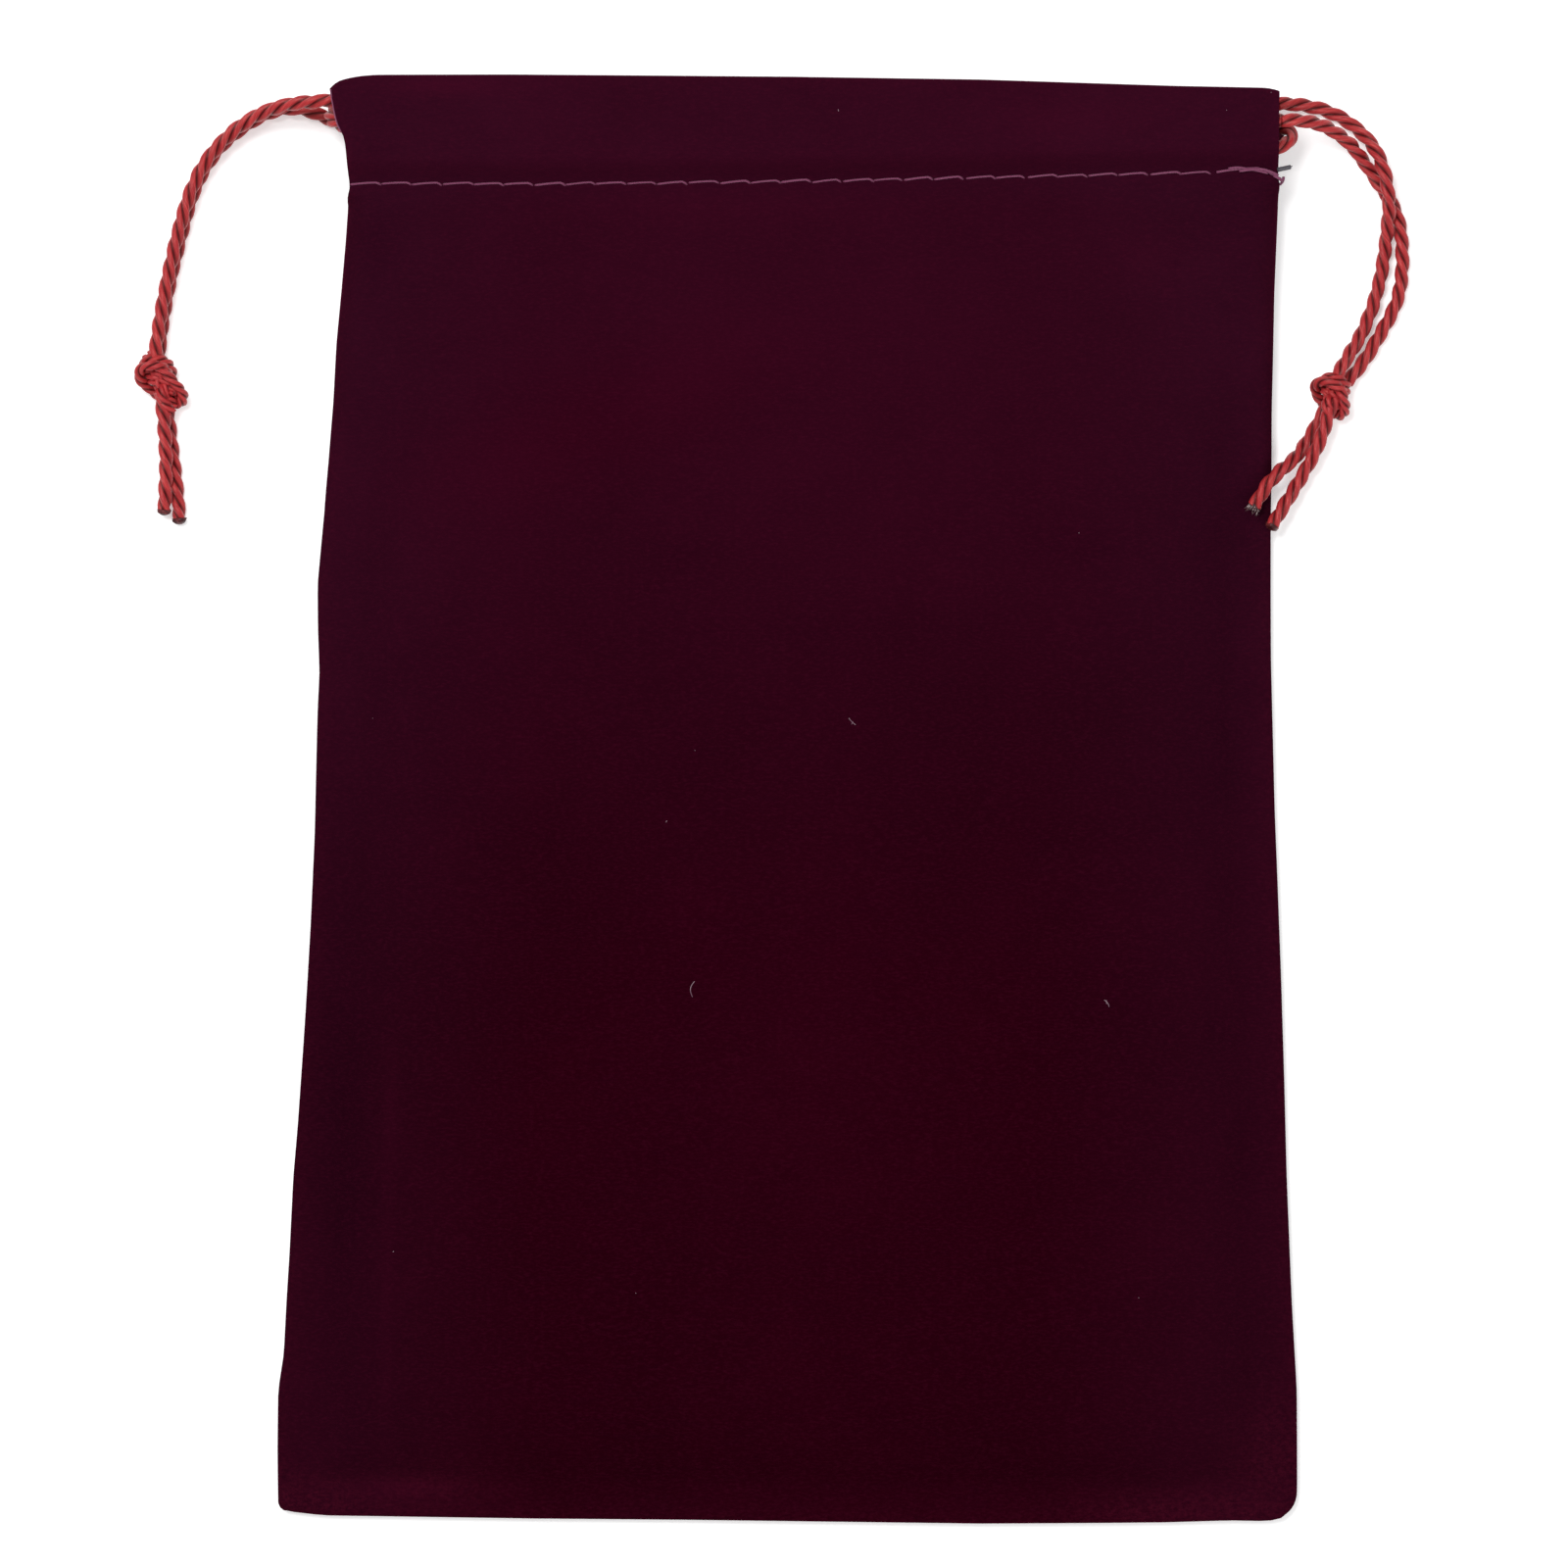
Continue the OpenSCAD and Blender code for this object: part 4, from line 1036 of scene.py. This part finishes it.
def allowance(side):
    sgn = 1 if side == "right" else -1
    y = np.arange(-112.6, 95.6, 1.6)
    e = edge_x(sgn * 1.0, y)
    out = np.stack([sgn * (e - 0.75), y, z_seam(y)], 1)
    inn = np.stack([sgn * (e - 6.3), y, z_seam(y)], 1)
    V1, F1, S1 = strip(inn, out, 0.38, 0.66, 0.05, 3)
    V2, F2, S2 = strip(inn, out, -0.38, 0.66, 0.05, 3)
    V = np.vstack([V1, V2])
    V[:, 2] = np.maximum(V[:, 2], 0.82)
    o = new_object(f"{side}_seam_allowance_cloth", V, F1 + [tuple(i + len(V1) for i in f) for f in F2], INSIDE, smooth=S1 + S2)
    gather(o, weight(V[:, 0], V[:, 1]))
    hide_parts(f"{side}_seam_allowance")
    return o


def bottom_allowance():
    x = np.arange(-72.5, 70.6, 1.6)
    yb = YBOT(x) + T / 2
    out = np.stack([x, yb + 0.75, np.full_like(x, 1.6)], 1)
    inn = np.stack([x, yb + 6.0, np.full_like(x, 1.6)], 1)
    V1, F1, S1 = strip(inn, out, 0.38, 0.66, 0.05, 4)
    V2, F2, S2 = strip(inn, out, -0.38, 0.66, 0.05, 4)
    V = np.vstack([V1, V2])
    V[:, 2] = np.maximum(V[:, 2], 0.82)
    o = new_object("bottom_seam_allowance_cloth", V, F1 + [tuple(i + len(V1) for i in f) for f in F2], INSIDE, smooth=S1 + S2)
    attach(o, "sack")
    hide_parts("bottom_seam_allowance")
    return o


allow = {s: allowance(s) for s in ("left", "right")}
allow_b = bottom_allowance()


def lockstitch(points, pitch, rad, lift):
    """A run of lockstitch along points: thread that arches between needle holes."""
    s = np.concatenate([[0], np.cumsum(np.linalg.norm(np.diff(points, axis=0), axis=1))])
    n = int(s[-1] / pitch)
    items = []
    for i in range(n):
        q = s[-1] * (i + np.linspace(0.06, 0.94, 8)) / n
        p = np.stack([np.interp(q, s, points[:, k]) for k in range(3)], 1)
        p[:, 2] += lift * np.sin(np.linspace(0, math.pi, 8)) ** 0.7
        items.append(fibre(p, rad, taper=False, M=6))
    return joined(items)


for side in ("left", "right"):
    sgn = 1 if side == "right" else -1
    y = np.arange(-106, 92.5, 1.0)
    e = edge_x(sgn * 1.0, y)
    V, Fc, U = lockstitch(np.stack([sgn * (e - 6.6), y, np.full_like(y, 1.0)], 1), 3.2, 0.19, 0.1)
    o = new_object(f"{side}_seam_lockstitch", V, Fc, THREAD, uv=U)
    gather(o, weight(V[:, 0], V[:, 1]))
    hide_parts(f"{side}_seam_thread")
x = np.arange(-73, 70.5, 1.0)
V, Fc, U = lockstitch(np.stack([x, np.full_like(x, -114.4 + 6.3), np.full_like(x, 1.0)], 1), 3.2, 0.19, 0.1)
o = new_object("bottom_seam_lockstitch", V, Fc, THREAD, uv=U)
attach(o, "sack")
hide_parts("bottom_seam_thread")

# ---------------------------------------------------------------- the hem rows
PITCH = 4.85
THREAD_R = 0.165


def hem_row(front):
    items = {"left": [], "right": []}
    r = np.random.default_rng(19 if front else 23)
    x0 = -69.0
    n = int((69.5 - x0) / PITCH)
    for i in range(n):
        a = x0 + i * PITCH + r.uniform(-0.15, 0.15)
        b = a + PITCH * r.uniform(0.93, 1.02)
        q = np.linspace(0, 1, 13)
        x = a + (b - a) * q
        lean = r.uniform(0.22, 0.42)
        y = YST(x) + lean * (q - 0.55) + 0.07 * np.sin(q * math.pi + r.uniform(-0.5, 0.5)) + r.uniform(-0.05, 0.05)
        # the last part of a stitch falls back to where the next one starts
        y = y - (lean + 0.1) * sstep(0.86, 1.0, q)
        if front:
            z = front_z(x, y) + T / 2 + 0.16 - 0.34 * (1 - sstep(0.0, 0.09, q)) - 0.30 * sstep(0.9, 1.0, q)
        else:
            z = 0.22 + 0 * q
        k = THREAD_R * r.uniform(0.92, 1.12)
        items["left" if (a + b) / 2 < 0 else "right"].append(fibre(np.stack([x, y, z], 1), k, taper=False, M=7))
    return {k: joined(v) for k, v in items.items()}


for front in (True, False):
    for side, (V, Fc, U) in hem_row(front).items():
        V = V.copy()
        V[:, 2] = np.maximum(V[:, 2], 0.02)
        o = new_object(f"{'front' if front else 'back'}_hem_stitches_{side}", V, Fc, THREAD, uv=U)
        gather(o, weight(V[:, 0], V[:, 1]))
        if side == "right":
            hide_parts(f"{'front' if front else 'back'}_hem_stitching")


def on_front(pts, lift=0.16):
    p = np.array(pts, float)
    x, y = p[:, 0], p[:, 1]
    return np.stack([x, y, front_z(x, y) + T / 2 + lift], 1)


def laid_thread(pts, rad, lift=0.16, step=0.35, lifts=None):
    q = np.array(pts, float)
    q3 = np.column_stack([q, np.zeros(len(q))])
    line = soften(q3, step, 0.5)
    p = on_front(line[:, :2], lift)
    if lifts is not None:
        p[:, 2] += np.interp(np.linspace(0, 1, len(p)), np.linspace(0, 1, len(lifts)), lifts)
    return fibre(p, rad, taper=False, M=7)


# the right end of the row: runs sewn back and forth, ending in a small knot over the edge
tack = [
    laid_thread([(67.58, 98.73), (69.44, 99.05), (71.61, 99.28), (74.25, 99.36)], 0.20),
    laid_thread([(69.44, 99.28), (70.99, 99.51), (72.54, 99.2), (74.4, 98.89), (75.64, 98.58)], 0.20, 0.3),
    laid_thread([(71.14, 98.89), (73, 99.12), (74.86, 99.2), (76.26, 98.73), (77.34, 98.19)], 0.22, 0.45),
    laid_thread([(74.25, 99.28), (75.33, 98.97), (76.42, 98.42), (77.19, 97.96), (77.73, 97.65)], 0.20, 0.22),
    laid_thread([(76.57, 98.19), (77.34, 97.8), (77.97, 97.34)], 0.24, 0.6),
    laid_thread([(78.12, 97.96), (78.21, 97.42), (77.66, 96.88)], 0.24, 0.25),
]
V, Fc, U = joined(tack)
o = new_object("right_bar_tack_stitches", V, Fc, THREAD, uv=U)
gather(o, weight(V[:, 0], V[:, 1]))
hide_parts("right_bar_tack")

q = np.array([(77.19, 99.12), (77.7, 99.24), (78.25, 99.36), (78.8, 99.5), (79.25, 99.6)])
line = soften(np.column_stack([q, [10.2, 10.1, 9.9, 9.7, 9.6]]), 0.2, 0.5)
items = [fibre(line, 0.38, taper=False, M=7)]
end = line[-1]
for k in range(5):
    a = rng.uniform(-0.5, 0.5)
    items.append(fibre([end - [0.2, 0, 0], end + [0.12, 0.03 + 0.08 * a, 0.0], end + [0.3, 0.10 + 0.3 * a, 0.05 * a]], 0.07, M=5))
V, Fc, U = joined(items)
o = new_object("right_thread_stub", V, Fc, GREY_THREAD, uv=U)
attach(o, "right_mouth_end")
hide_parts("right_thread_tail")

# the edge of the left opening, with a fine thread along it
yy = np.linspace(104.9, 111.6, 30)
ex = -(XL(yy) + 0.02)
V, Fc, U = fibre(np.stack([ex + 0.35, yy, front_z(ex + 0.6, yy) + 0.30], 1), 0.13, taper=False, M=6)
o = new_object("left_opening_thread", V, Fc, THREAD, uv=U)
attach(o, "left_mouth_end")
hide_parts("left_opening_stitching")

# ---------------------------------------------------------------- lint on the pile
lint = {"left": [], "right": []}
spots = [((-65.7, 12.7), 0.31), ((-14.7, 7.6), 0.46), ((10.1, 11.9), 0.78), ((-19.2, -3.6), 0.62), ((50.2, -32.1), 0.93), ((55.3, -78.7), 0.31),
         ((-24, -78), 0.31), ((69, 108.3), 0.31), ((7.9, 108.3), 0.62), ((76, 111.1), 0.31), ((45.9, 41.9), 0.31), ((-62.3, -71.5), 0.46)]
for (a, b), size in spots:
    ang = rng.uniform(0.6, 2.4)
    pts = [(a + size * 0.5 * k * math.cos(ang) + 0.12 * size * k * k, b - size * 0.5 * k * math.sin(ang)) for k in (-1, 0, 1)]
    lint["left" if a < 0 else "right"].append(laid_thread(pts, 0.055, 0.05, 0.2))
lint["left"].append(laid_thread([(-14.72, -28.83), (-15.35, -29.61), (-15.42, -30.38), (-15.04, -31.31)], 0.06, 0.06, 0.2))
lint["right"].append(laid_thread([(9.61, 12.71), (10.07, 12.09), (10.7, 11.62)], 0.055, 0.06, 0.2))
lint["right"].append(laid_thread([(49.91, -31.77), (50.53, -32.09), (50.69, -32.86)], 0.055, 0.06, 0.2))
for side, items in lint.items():
    V, Fc, U = joined(items)
    o = new_object(f"lint_{side}", V, Fc, LINT, uv=U)
    gather(o, weight(V[:, 0], V[:, 1]))

# ---------------------------------------------------------------- the side of each cloth, read from its name
for name, o in cloths.items():
    side = name.split("_")[-1]
